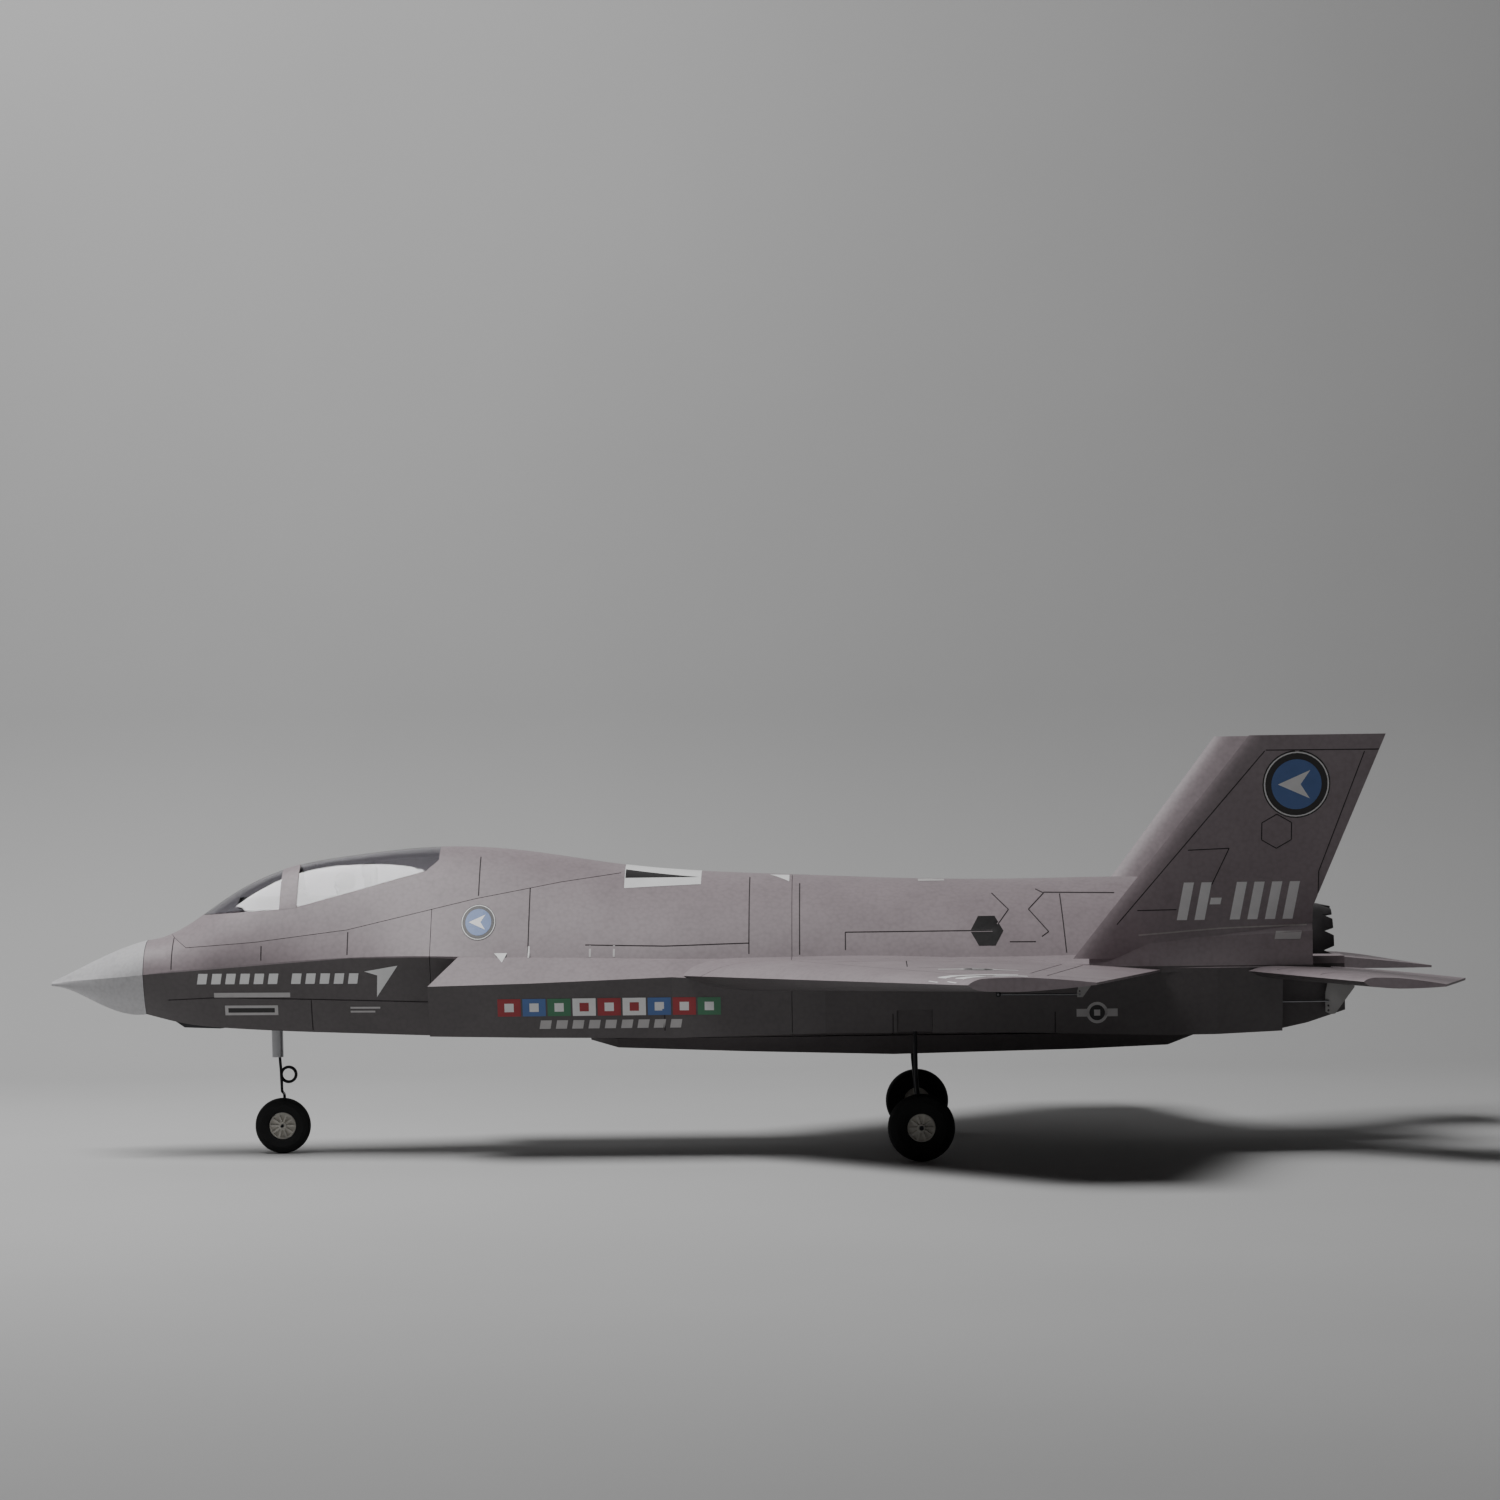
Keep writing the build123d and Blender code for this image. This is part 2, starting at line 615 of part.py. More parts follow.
with BuildPart() as pilot_bust:
    with BuildSketch(Plane.XY.offset(195.2)):
        with Locations((-306.0, 0)):
            RectangleRounded(14, 26, 5)
    with BuildSketch(Plane.XY.offset(202.0)):
        with Locations((-306.5, 0)):
            RectangleRounded(9, 12, 4)
    loft()
    with Locations((-308.0, 0, 208.0)):
        Sphere(8.4)
save(pilot_bust.part, "pilot_bust")

# ---------------------------------------------------------------- flight equipment in the bay
with BuildPart() as battery_pack:
    with Locations((-238.0, 0, BAY_FLOOR_Z + 14.2)):
        Box(104, 42, 28)
    fillet(battery_pack.edges().filter_by(Axis.X), 3.0)
save(battery_pack.part, "battery_pack")

with BuildPart() as speed_controller:
    with Locations((-143.0, -2, BAY_FLOOR_Z + 6.2)):
        Box(58, 26, 12)
    with Locations([(-166.0 + 6 * index, -2, BAY_FLOOR_Z + 13.4) for index in range(8)]):
        Box(1.2, 24, 3)
save(speed_controller.part, "speed_controller")

with BuildPart() as receiver:
    with Locations((-143.0, 0, BAY_FLOOR_Z + 21.2)):
        Box(42, 24, 12)
    fillet(receiver.edges().filter_by(Axis.Z), 2.0)
save(receiver.part, "receiver")

# ---------------------------------------------------------------- ducted fan, tube and nozzle
fan_axis = Plane(origin=(FAN_X, 0, FAN_Z), x_dir=(0, 1, 0), z_dir=(1, 0, 0))
with BuildPart() as fan_shroud:
    with BuildSketch(fan_axis.offset(-4)):
        Circle(FAN_SHROUD_R)
        Circle(FAN_BORE_R, mode=Mode.SUBTRACT)
    extrude(amount=FAN_LENGTH + 4)
    with BuildSketch(fan_axis.offset(20)):
        Circle(MOTOR_R + 1.6)
        Circle(MOTOR_R + 0.1, mode=Mode.SUBTRACT)
    extrude(amount=FAN_LENGTH - 20)
    with BuildSketch(fan_axis.offset(24)):
        with PolarLocations((MOTOR_R + 1.2 + FAN_BORE_R + 0.4) / 2, 5, start_angle=18):
            Rectangle(FAN_BORE_R - MOTOR_R - 0.8, 1.5)
    extrude(amount=FAN_LENGTH - 26)
save(fan_shroud.part, "fan_shroud")

with BuildPart() as fan_motor:
    with BuildSketch(fan_axis.offset(20.2)):
        Circle(MOTOR_R)
    extrude(amount=MOTOR_LENGTH)
    chamfer(fan_motor.edges().group_by(Axis.X)[-1], 1.5)
    with BuildSketch(fan_axis.offset(2)):
        Circle(1.5)
    extrude(amount=19)
save(fan_motor.part, "fan_motor")


def blade_section(radius, chord, pitch, thickness):
    """Flat blade section on the plane at the given radius above the fan's axis."""
    plane = Plane(origin=(FAN_X + 9, 0, FAN_Z + radius), x_dir=(1, 0, 0), z_dir=(0, 0, 1))
    with BuildSketch(plane.rotated((0, 0, pitch))) as section:
        Rectangle(chord, thickness)
    return section.sketch


with BuildPart() as blade:
    loft([blade_section(SPINNER_R - 2, 13.0, 38, 1.8), blade_section(ROTOR_R - 0.5, 15.0, 62, 1.0)])
with BuildPart() as fan_rotor:
    with BuildSketch(fan_axis):
        Circle(SPINNER_R)
    extrude(amount=18)
    with BuildSketch(Plane.XY.offset(FAN_Z)):
        with BuildLine():
            Line((FAN_X - 17, 0), (FAN_X, 0))
            Line((FAN_X, 0), (FAN_X, SPINNER_R))
            ThreePointArc((FAN_X, SPINNER_R), (FAN_X - 12, SPINNER_R * 0.62), (FAN_X - 17, 0))
        make_face()
    revolve(axis=Axis((0, 0, FAN_Z), (1, 0, 0)))
    for index in range(FAN_BLADES):
        add(blade.part.rotate(Axis((0, 0, FAN_Z), (1, 0, 0)), 360 / FAN_BLADES * index))
    with BuildSketch(fan_axis.offset(1)):
        Circle(1.5 + FIT)
    extrude(amount=20, mode=Mode.SUBTRACT)
save(fan_rotor.part, "fan_rotor")

tube_start_x, tube_end_x = FAN_X + FAN_LENGTH + 1.3, NOZZLE_START_X - 0.8
with BuildPart() as thrust_tube:
    for wall, mode in ((TUBE_WALL, Mode.ADD), (0, Mode.SUBTRACT)):
        with BuildSketch(across(tube_start_x)):
            with Locations((0, FAN_Z)):
                Circle(FAN_BORE_R + wall)
        with BuildSketch(across(tube_end_x)):
            with Locations((0, NOZZLE_Z)):
                Circle(TUBE_END_R + wall)
        loft(mode=mode)
save(thrust_tube.part, "thrust_tube")

nozzle_axis = Axis((0, 0, NOZZLE_Z), (1, 0, 0))
petal_notch = plan_slab(
    [(NOZZLE_END_X + 1, -3.8), (NOZZLE_END_X + 1, 3.8), (NOZZLE_END_X - 8, 0)], NOZZLE_Z + 28, NOZZLE_Z + 45
)
with BuildPart() as exhaust_nozzle:
    with BuildSketch(Plane.XY.offset(NOZZLE_Z)):
        with BuildLine():
            Polyline(
                (NOZZLE_START_X, TUBE_END_R),
                (NOZZLE_START_X, NOZZLE_R),
                (NOZZLE_END_X - 10, NOZZLE_R),
                (NOZZLE_END_X, NOZZLE_R - 2.2),
                (NOZZLE_END_X, NOZZLE_R - 3.6),
                (NOZZLE_END_X - 10, NOZZLE_R - 2.6),
                (NOZZLE_START_X + 12, TUBE_END_R),
                close=True,
            )
        make_face()
    revolve(axis=nozzle_axis)
    for index in range(NOZZLE_PETALS):
        add(petal_notch.rotate(nozzle_axis, 360 / NOZZLE_PETALS * (index + 0.5)), mode=Mode.SUBTRACT)
save(exhaust_nozzle.part, "exhaust_nozzle")

# ---------------------------------------------------------------- wings and ailerons
hinge_in = Vector(*AILERON_IN, wing_values(AILERON_IN[1])[2])
hinge_out = Vector(*AILERON_OUT, wing_values(AILERON_OUT[1])[2])
hinge_line = (hinge_out - hinge_in).normalized()
aft_of_hinge = Vector(hinge_line.Y, -hinge_line.X, 0).normalized()
linkage_point = hinge_in + hinge_line * ((LINKAGE_Y - AILERON_IN[1]) / hinge_line.Y)
aileron_linkage = Plane(origin=linkage_point, x_dir=aft_of_hinge, z_dir=hinge_line * -1)
aileron_shaft = linkage_point - aft_of_hinge * AILERON_ROD
aileron_arm_plane = Plane(origin=aileron_shaft, x_dir=aft_of_hinge, z_dir=hinge_line * -1)
aileron_servo = aileron_arm_plane.offset(-0.9)


def hinge_roll(extra):
    """Tapered roll around the aileron's hinge line."""
    with BuildPart() as roll:
        with BuildSketch(Plane(origin=hinge_in, z_dir=hinge_line)) as inner:
            Circle(5.3 + extra)
        with BuildSketch(Plane(origin=hinge_out, z_dir=hinge_line)) as outer:
            Circle(4.8 + extra)
        loft([inner.sketch, outer.sketch])
    return roll.part


def aileron_zone(extra, end_gap):
    """Everything behind the hinge roll between the aileron's two ends."""
    ends = (AILERON_IN[1] + end_gap, AILERON_OUT[1] - end_gap)
    behind = plan_slab([AILERON_IN, AILERON_OUT, (330, AILERON_OUT[1]), (330, AILERON_IN[1])], 110, 170)
    with BuildPart() as zone:
        add(behind)
        add(hinge_roll(extra))
        add(box_between((150, ends[0], 100), (340, ends[1], 180)), mode=Mode.INTERSECT)
    return zone.part


with BuildPart() as aileron_servo_pocket:
    with Locations(aileron_servo):
        Box(33.2, 40, 31, align=(Align.CENTER, Align.MAX, Align.MAX))
servo_pocket = aileron_servo_pocket.part.moved(
    Pos(*(aft_of_hinge * -5.8)) * Pos(*(hinge_line * -3.7)) * Pos(0, 0, 6.3)
)

wing_panel = wing_span(WING_JOINT_Y, WING_TIP_Y)
with BuildPart() as wing:
    add(wing_panel)
    add(aileron_zone(AILERON_GAP, 0.0), mode=Mode.SUBTRACT)
    add(servo_pocket, mode=Mode.SUBTRACT)
    add(spar_bore, mode=Mode.SUBTRACT)
save_pair(wing.part, "wing")

with BuildPart() as aileron:
    add(wing_panel)
    add(aileron_zone(0.0, 1.0), mode=Mode.INTERSECT)
save_pair(aileron.part, "aileron")

aileron_horn_outline = ((0.8, -3.4), (11.5, -3.0), (9.8, -6.5), (2.2, -17.0), (-1.8, -17.0), (-1.8, -13.0))
with BuildPart() as aileron_horn:
    add(horn(aileron_linkage, aileron_horn_outline, [(0, -AILERON_ARM), (0, 2.5 - AILERON_ARM)]))
    add(aileron, mode=Mode.SUBTRACT)
save_pair(aileron_horn.part, "aileron_horn")

save_pair(crank(aileron_arm_plane, 0, -AILERON_ARM), "aileron_servo_arm")
save_pair(pushrod(aileron_linkage, (-AILERON_ROD, -AILERON_ARM), (0, -AILERON_ARM)), "aileron_pushrod")

with BuildPart() as aileron_servos:
    add(servo(aileron_servo))
    mirror(aileron_servos.part, about=Plane.XZ)
save(aileron_servos.part, "aileron_servos")

with BuildPart() as wing_spars:
    add(rod((SPAR_X, SPAR_INNER_Y + 0.5, SPAR_Z), (SPAR_X, SPAR_OUTER_Y - 0.5, SPAR_Z), SPAR_R))
    mirror(wing_spars.part, about=Plane.XZ)
save(wing_spars.part, "wing_spars")

# ---------------------------------------------------------------- fins
fin_root_y, fin_tip_y = 116.5, 175.0
FIN_BLISTER = (  # x and the (y, z) corners of the root blister
    (256.0, (110.0, 136.0), (119.0, 136.0), (119.6, 149.0), (118.0, 151.0), (112.0, 149.0)),
    (300.0, (105.0, 136.0), (126.1, 136.0), (126.4, 160.0), (123.5, 164.0), (108.0, 153.0)),
    (420.0, (104.0, 139.6), (130.6, 139.6), (131.0, 166.0), (127.0, 171.5), (110.0, 153.0)),
)


def blister_section(station):
    """Five-sided cross-section of the fin's root blister."""
    x, *corners = station
    with BuildSketch(across(x)) as section:
        with BuildLine():
            Polyline(*corners, close=True)
        make_face()
    return section.sketch


with BuildPart() as fin:
    loft(
        [
            airfoil(Plane.XY.offset(FIN_BASE_Z), 244.0, 420.0, fin_root_y, 13.0),
            airfoil(Plane.XY.offset(FIN_TOP_Z), 371.6, 471.0, fin_tip_y, 6.5),
        ]
    )
    add(slab(fin_outline, 90, 190), mode=Mode.INTERSECT)
    loft([blister_section(station) for station in FIN_BLISTER], ruled=True)
    add(hull, mode=Mode.SUBTRACT)
save_pair(fin.part, "fin")

# ---------------------------------------------------------------- all-moving stabilators
stab_linkage, stab_servo_plane = (
    Plane(origin=(x, STAB_HORN_Y, STAB_PIVOT[1]), x_dir=(1, 0, 0), z_dir=(0, 1, 0))
    for x in (STAB_PIVOT[0], STAB_PIVOT[0] - STAB_ROD)
)
stab_plan = (
    (372.2, STAB_ROOT_Y), (447.0, 231.0), (506.3, 231.0), (535.1, 107.0), (449.0, 107.0),
    (447.0, 113.3), (434.5, 113.3), (434.5, STAB_ROOT_Y),
)
stab_pivot = Axis((STAB_PIVOT[0], 0, STAB_PIVOT[1]), (0, 1, 0))
with BuildPart() as flat_stabilator:
    loft(
        [
            airfoil(along(99.0), 347.0, 537.0, STAB_PIVOT[1], 12.0),
            airfoil(along(231.0), 447.0, 506.3, STAB_PIVOT[1], 8.0),
        ]
    )
    add(plan_slab(stab_plan, 120, 150), mode=Mode.INTERSECT)
with BuildPart() as stabilator:
    add(flat_stabilator.part.rotate(stab_pivot, STAB_PITCH))
    add(rod((STAB_PIVOT[0], 86.5, STAB_PIVOT[1]), (STAB_PIVOT[0], 136, STAB_PIVOT[1]), 2.0))
save_pair(stabilator.part, "stabilator")

stab_horn_outline = (
    (0.5, 3.5), (19.5, 3.5), (19.5, 10.0), (5.0, 29.5), (1.5, 30.0), (-2.2, 28.0), (-2.2, 14.0),
)
with BuildPart() as stab_horn:
    add(horn(stab_linkage, stab_horn_outline, [(0, STAB_ARM), (0, STAB_ARM + 3.5), (0, STAB_ARM + 7.0)]))
    add(stabilator, mode=Mode.SUBTRACT)
save_pair(stab_horn.part, "stabilator_horn")

save_pair(crank(stab_servo_plane, 0, STAB_ARM), "stabilator_servo_arm")
save_pair(pushrod(stab_linkage, (-STAB_ROD, STAB_ARM), (0, STAB_ARM)), "stabilator_pushrod")

with BuildPart() as stabilator_servos:
    add(servo(stab_servo_plane.offset(-0.9)))
    mirror(stabilator_servos.part, about=Plane.XZ)
save(stabilator_servos.part, "stabilator_servos")

# ---------------------------------------------------------------- nose undercarriage
with BuildPart() as nose_gear_leg:
    add(rod((NOSE_LEG_X, 0, 96.2), (NOSE_LEG_X, 0, STEER_Z + 2), 2.0))
    add(
        wire(
            [
                (NOSE_LEG_X, 0, 97.0),
                (COIL_X - COIL_R, 0, 62.0),
                (COIL_X - COIL_R + 0.5, 0, 47.5),
                (COIL_X - COIL_R + 1.0, 11.2, 44.5),
                (NOSE_AXLE_X, 11.2, NOSE_TYRE_R),
                (NOSE_AXLE_X, -9.0, NOSE_TYRE_R),
            ],
            2.4,
            NOSE_WIRE_R,
        )
    )
    with Locations(Location((COIL_X, 0.4, COIL_Z), (90, 0, 0)), Location((COIL_X, 2.4, COIL_Z), (90, 0, 0))):
        Torus(COIL_R, NOSE_WIRE_R)
save(nose_gear_leg.part, "nose_gear_leg")

with BuildPart() as nose_strut_sleeve:
    add(rod((NOSE_LEG_X + 0.3, 0, 73.8), (NOSE_LEG_X, 0, 95.4), 4.4))
    add(nose_gear_leg, mode=Mode.SUBTRACT)
save(nose_strut_sleeve.part, "nose_strut_sleeve")

with BuildPart() as nose_gear_mount:
    add(box_between((NOSE_LEG_X - 12, -10, 96.0), (NOSE_LEG_X + 12, 10, STEER_Z - 2.4)))
    add(rod((NOSE_LEG_X, 0, 90), (NOSE_LEG_X, 0, 140), 2.0 + FIT), mode=Mode.SUBTRACT)
    chamfer(nose_gear_mount.edges().group_by(Axis.Z)[-1].filter_by(Axis.Y), 2.0)
save(nose_gear_mount.part, "nose_gear_mount")

tiller_plane = Plane(origin=(NOSE_LEG_X, 0, STEER_Z))
save(crank(tiller_plane, 0, STEER_ARM, bore_r=2.0), "steering_tiller")
steer_servo_plane = Plane(origin=(STEER_SERVO_X, 0, STEER_Z))
save(crank(steer_servo_plane, 0, STEER_ARM), "steering_servo_arm")
steer_rod_length = STEER_SERVO_X - NOSE_LEG_X
save(pushrod(tiller_plane, (0, STEER_ARM), (steer_rod_length, STEER_ARM)), "steering_pushrod")
steering_servo_seat = Plane(origin=(STEER_SERVO_X, 0, STEER_Z - 0.9), x_dir=(-1, 0, 0), z_dir=(0, 0, 1))
save(servo(steering_servo_seat), "steering_servo")

nose_hub, nose_tyre = wheel(
    NOSE_AXLE_X, NOSE_TYRE_R, 0.0, NOSE_TYRE_R, NOSE_HUB_R, NOSE_TYRE_W, NOSE_WIRE_R
)
save(nose_hub, "nose_hub")
save(nose_tyre, "nose_tyre")

# ---------------------------------------------------------------- main undercarriage
main_leg = wire(
    [
        (MAIN_LEG_X, MAIN_LEG_Y, 109.0),
        (MAIN_LEG_X + 0.5, MAIN_LEG_Y, 60.0),
        (MAIN_AXLE_X, MAIN_LEG_Y + 3.5, MAIN_TYRE_R),
        (MAIN_AXLE_X, MAIN_WHEEL_Y + 10.5, MAIN_TYRE_R),
    ],
    4.0,
    MAIN_WIRE_R,
)
with BuildPart() as main_gear_legs:
    add(main_leg)
    mirror(main_leg, about=Plane.XZ)
save(main_gear_legs.part, "main_gear_legs")

with BuildPart() as main_gear_mounts:
    add(box_between((MAIN_LEG_X - 13, 107, 94.6), (MAIN_LEG_X + 13, 119.9, 110)))
    mirror(main_gear_mounts.part, about=Plane.XZ)
    add(main_gear_legs, mode=Mode.SUBTRACT)
save(main_gear_mounts.part, "main_gear_mounts")

main_hub, main_tyre = wheel(
    MAIN_AXLE_X, MAIN_TYRE_R, MAIN_WHEEL_Y, MAIN_TYRE_R, MAIN_HUB_R, MAIN_TYRE_W, MAIN_WIRE_R
)
save_pair(main_hub, "main_hub")
save_pair(main_tyre, "main_tyre")
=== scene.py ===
"""Visual model of a moulded-foam ducted-fan jet on fixed wire undercarriage.

Everything is placed from the CAD frame. Lengths in the classes are millimetres and become metres through
MM; the nose points to -X, the right wing to +Y and the wheels stand on z = 0.
"""

import logging
import math
from dataclasses import dataclass, replace
from enum import Enum, IntEnum
from typing import Callable, Iterable, Sequence

import bmesh
import bpy
from mathutils import Matrix, Vector


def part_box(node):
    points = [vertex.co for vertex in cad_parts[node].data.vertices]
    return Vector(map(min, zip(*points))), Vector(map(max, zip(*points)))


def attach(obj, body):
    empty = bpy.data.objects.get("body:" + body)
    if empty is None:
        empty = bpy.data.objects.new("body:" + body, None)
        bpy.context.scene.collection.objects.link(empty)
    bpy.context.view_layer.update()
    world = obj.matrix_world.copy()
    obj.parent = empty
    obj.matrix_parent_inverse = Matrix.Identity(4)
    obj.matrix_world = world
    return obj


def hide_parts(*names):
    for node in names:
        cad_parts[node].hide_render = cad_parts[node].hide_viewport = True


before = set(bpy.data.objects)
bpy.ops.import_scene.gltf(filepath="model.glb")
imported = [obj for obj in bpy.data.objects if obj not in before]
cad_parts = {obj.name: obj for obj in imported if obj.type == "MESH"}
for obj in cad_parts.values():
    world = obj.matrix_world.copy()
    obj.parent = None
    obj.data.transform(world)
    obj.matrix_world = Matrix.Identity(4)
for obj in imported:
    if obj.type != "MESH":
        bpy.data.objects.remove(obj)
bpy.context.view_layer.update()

LOG = logging.getLogger("jet")
MM = 0.001
PER_MM = 1000.0  # a texture's scale for one repeat in each millimetre
WELD = 0.002 * MM  # corners closer than this are one
TOUCH = 0.2 * MM  # how far outside a panel line's strip a face still counts as touching it
SHADING = "cad_shading"
WALL_COSINE = 0.6  # a face turned further than this from the shading it carries is an engraved wall
MIX_A, MIX_B, MIX_RESULT = 6, 7, 2  # the colour sockets of a mix node

# Edge of the darker underside as (x, z) stations in millimetres; that dark tone is partly two-tone paint and
# partly painted shade. Below it a face is dark if its normal's z is under BODY_LOOK; on a wing or tail
# surface, wherever it is under FLYING_LOOK, so the faces that look down carry the painted shade.
CHINE = ((-460.0, 139.5), (-300.0, 151.5), (-237.0, 152.0), (-160.0, 147.0), (-60.0, 141.0), (540.0, 141.0))
BODY_LOOK, FLYING_LOOK = 0.12, -0.5

# A film starts FILM_START from the middle or the floor, drops on the skin and is lifted off it by FILM_LIFT
# and by LAYER_LIFT for each layer, in millimetres.
FILM_START, FILM_LIFT, LAYER_LIFT = 400.0, 0.1, 0.08

Point = tuple[float, float, float]


class Coat(IntEnum):
    """Material slots of a foam moulding."""

    PAINT = 0
    GROOVE = 1
    BARE = 2
    UNDERSIDE = 3


class Side(Enum):
    """Left and right of the aeroplane, as the sign of Y."""

    LEFT = -1
    RIGHT = 1


# ---------------------------------------------------------------- node and colour helpers
def linear(hex_colour: str) -> tuple[float, float, float, float]:
    """Turn an sRGB hex colour into linear RGBA.

    Args:
        hex_colour: six hex digits.

    Returns:
        Linear red, green, blue and full alpha.
    """
    channels = [int(hex_colour[start : start + 2], 16) / 255 for start in (0, 2, 4)]
    curve = [c / 12.92 if c <= 0.04045 else ((c + 0.055) / 1.055) ** 2.4 for c in channels]
    return (curve[0], curve[1], curve[2], 1.0)


def add_node(tree: bpy.types.NodeTree, kind: str, settings: dict, links: dict) -> bpy.types.Node:
    """Add one shader node.

    Args:
        tree: the material's node tree.
        kind: the node's type name.
        settings: values by name, each an input's default or an attribute; stops gives a colour ramp its
            (position, linear colour) pairs.
        links: source sockets by input name or number.

    Returns:
        The new node.
    """
    node = tree.nodes.new(kind)
    for name, value in settings.items():
        if name == "stops":
            for element, (position, colour) in zip(node.color_ramp.elements, value):
                element.position = position
                element.color = colour
        elif name in node.inputs:
            node.inputs[name].default_value = value
        else:
            setattr(node, name, value)
    feed(tree, node, links)
    return node


def feed(tree: bpy.types.NodeTree, node: bpy.types.Node, links: dict) -> None:
    """Link source sockets, given by input name or number, to a node."""
    for name, source in links.items():
        tree.links.new(source, node.inputs[name])


def start_material(name: str) -> tuple[bpy.types.Material, bpy.types.NodeTree, bpy.types.Node]:
    """Make an empty node material.

    Args:
        name: the material's name.

    Returns:
        The material, its tree and its Principled shader.
    """
    material = bpy.data.materials.new(name)
    material.use_nodes = True
    tree = material.node_tree
    tree.nodes.clear()
    shader = add_node(tree, "ShaderNodeBsdfPrincipled", {}, {})
    add_node(tree, "ShaderNodeOutputMaterial", {}, {"Surface": shader.outputs["BSDF"]})
    return material, tree, shader


# ---------------------------------------------------------------- finishes
@dataclass(frozen=True)
class FoamPaint:
    """Water-based paint sprayed on expanded-bead foam.

    The moulded beads show as faint round cells under the paint, and the spray leaves a slightly mottled
    tone with a satin sheen.
    """

    name: str
    tone: str
    shade: str
    roughness: float = 0.5
    bead_mm: float = 3.2
    mottle_mm: float = 45.0
    grit_mm: float = 0.7
    bead_depth_mm: float = 0.05
    grit_depth_mm: float = 0.02

    def build(self) -> bpy.types.Material:
        """Build the material.

        Returns:
            The finished material.
        """
        material, tree, shader = start_material(self.name)
        place = {"Vector": add_node(tree, "ShaderNodeTexCoord", {}, {}).outputs["Object"]}
        mottle = add_node(
            tree, "ShaderNodeTexNoise",
            {"Scale": PER_MM / self.mottle_mm, "Detail": 5.0, "Roughness": 0.6}, place,
        )
        beads = add_node(
            tree, "ShaderNodeTexVoronoi",
            {"feature": "SMOOTH_F1", "Scale": PER_MM / self.bead_mm, "Smoothness": 0.6}, place,
        )
        grit = add_node(tree, "ShaderNodeTexNoise", {"Scale": PER_MM / self.grit_mm, "Detail": 3.0}, place)
        tone = add_node(
            tree, "ShaderNodeValToRGB",
            {"stops": ((0.3, linear(self.shade)), (0.7, linear(self.tone)))}, {"Fac": mottle.outputs["Fac"]},
        )
        seam = add_node(
            tree, "ShaderNodeValToRGB",
            {"stops": ((0.35, (1, 1, 1, 1)), (0.95, (0.86, 0.86, 0.86, 1)))},
            {"Fac": beads.outputs["Distance"]},
        )
        paint = add_node(
            tree, "ShaderNodeMix", {"data_type": "RGBA", "blend_type": "MULTIPLY", "Factor": 1.0},
            {MIX_A: tone.outputs["Color"], MIX_B: seam.outputs["Color"]},
        )
        gloss = add_node(
            tree, "ShaderNodeMapRange",
            {"To Min": self.roughness - 0.06, "To Max": self.roughness + 0.1}, {"Value": grit.outputs["Fac"]},
        )
        bead_bump = add_node(
            tree, "ShaderNodeBump", {"Strength": 0.7, "Distance": self.bead_depth_mm * MM, "invert": True},
            {"Height": beads.outputs["Distance"]},
        )
        grit_bump = add_node(
            tree, "ShaderNodeBump", {"Strength": 0.5, "Distance": self.grit_depth_mm * MM},
            {"Height": grit.outputs["Fac"], "Normal": bead_bump.outputs["Normal"]},
        )
        feed(tree, shader, {
            "Base Color": paint.outputs[MIX_RESULT],
            "Roughness": gloss.outputs["Result"],
            "Normal": grit_bump.outputs["Normal"],
        })
        return material


@dataclass(frozen=True)
class Moulded:
    """Injection-moulded or printed plastic, rubber or film with a fine grain.

    The grain breaks the highlight up slightly, and low clouds of tone keep the surface from being flat.
    """

    name: str
    tone: str
    roughness: float = 0.4
    grain_mm: float = 0.8
    depth_mm: float = 0.02
    variation: float = 0.12
    metallic: float = 0.0
    coat: float = 0.0
    cloud_mm: float = PER_MM / 90

    def build(self) -> bpy.types.Material:
        """Build the material.

        Returns:
            The finished material.
        """
        material, tree, shader = start_material(self.name)
        shader.inputs["Metallic"].default_value = self.metallic
        shader.inputs["Coat Weight"].default_value = self.coat
        place = {"Vector": add_node(tree, "ShaderNodeTexCoord", {}, {}).outputs["Object"]}
        cloud = add_node(tree, "ShaderNodeTexNoise", {"Scale": PER_MM / self.cloud_mm, "Detail": 4.0}, place)
        grain = add_node(tree, "ShaderNodeTexNoise", {"Scale": PER_MM / self.grain_mm, "Detail": 3.0}, place)
        dark, light = (
            tuple(min(1.0, channel * factor) for channel in linear(self.tone)[:3]) + (1.0,)
            for factor in (1 - self.variation, 1 + self.variation)
        )
        tone = add_node(
            tree, "ShaderNodeValToRGB", {"stops": ((0.3, dark), (0.7, light))}, {"Fac": cloud.outputs["Fac"]}
        )
        gloss = add_node(
            tree, "ShaderNodeMapRange",
            {"To Min": max(0.05, self.roughness - 0.08), "To Max": min(1.0, self.roughness + 0.1)},
            {"Value": grain.outputs["Fac"]},
        )
        bump = add_node(
            tree, "ShaderNodeBump", {"Strength": 0.5, "Distance": self.depth_mm * MM},
            {"Height": grain.outputs["Fac"]},
        )
        feed(tree, shader, {
            "Base Color": tone.outputs["Color"],
            "Roughness": gloss.outputs["Result"],
            "Normal": bump.outputs["Normal"],
        })
        return material


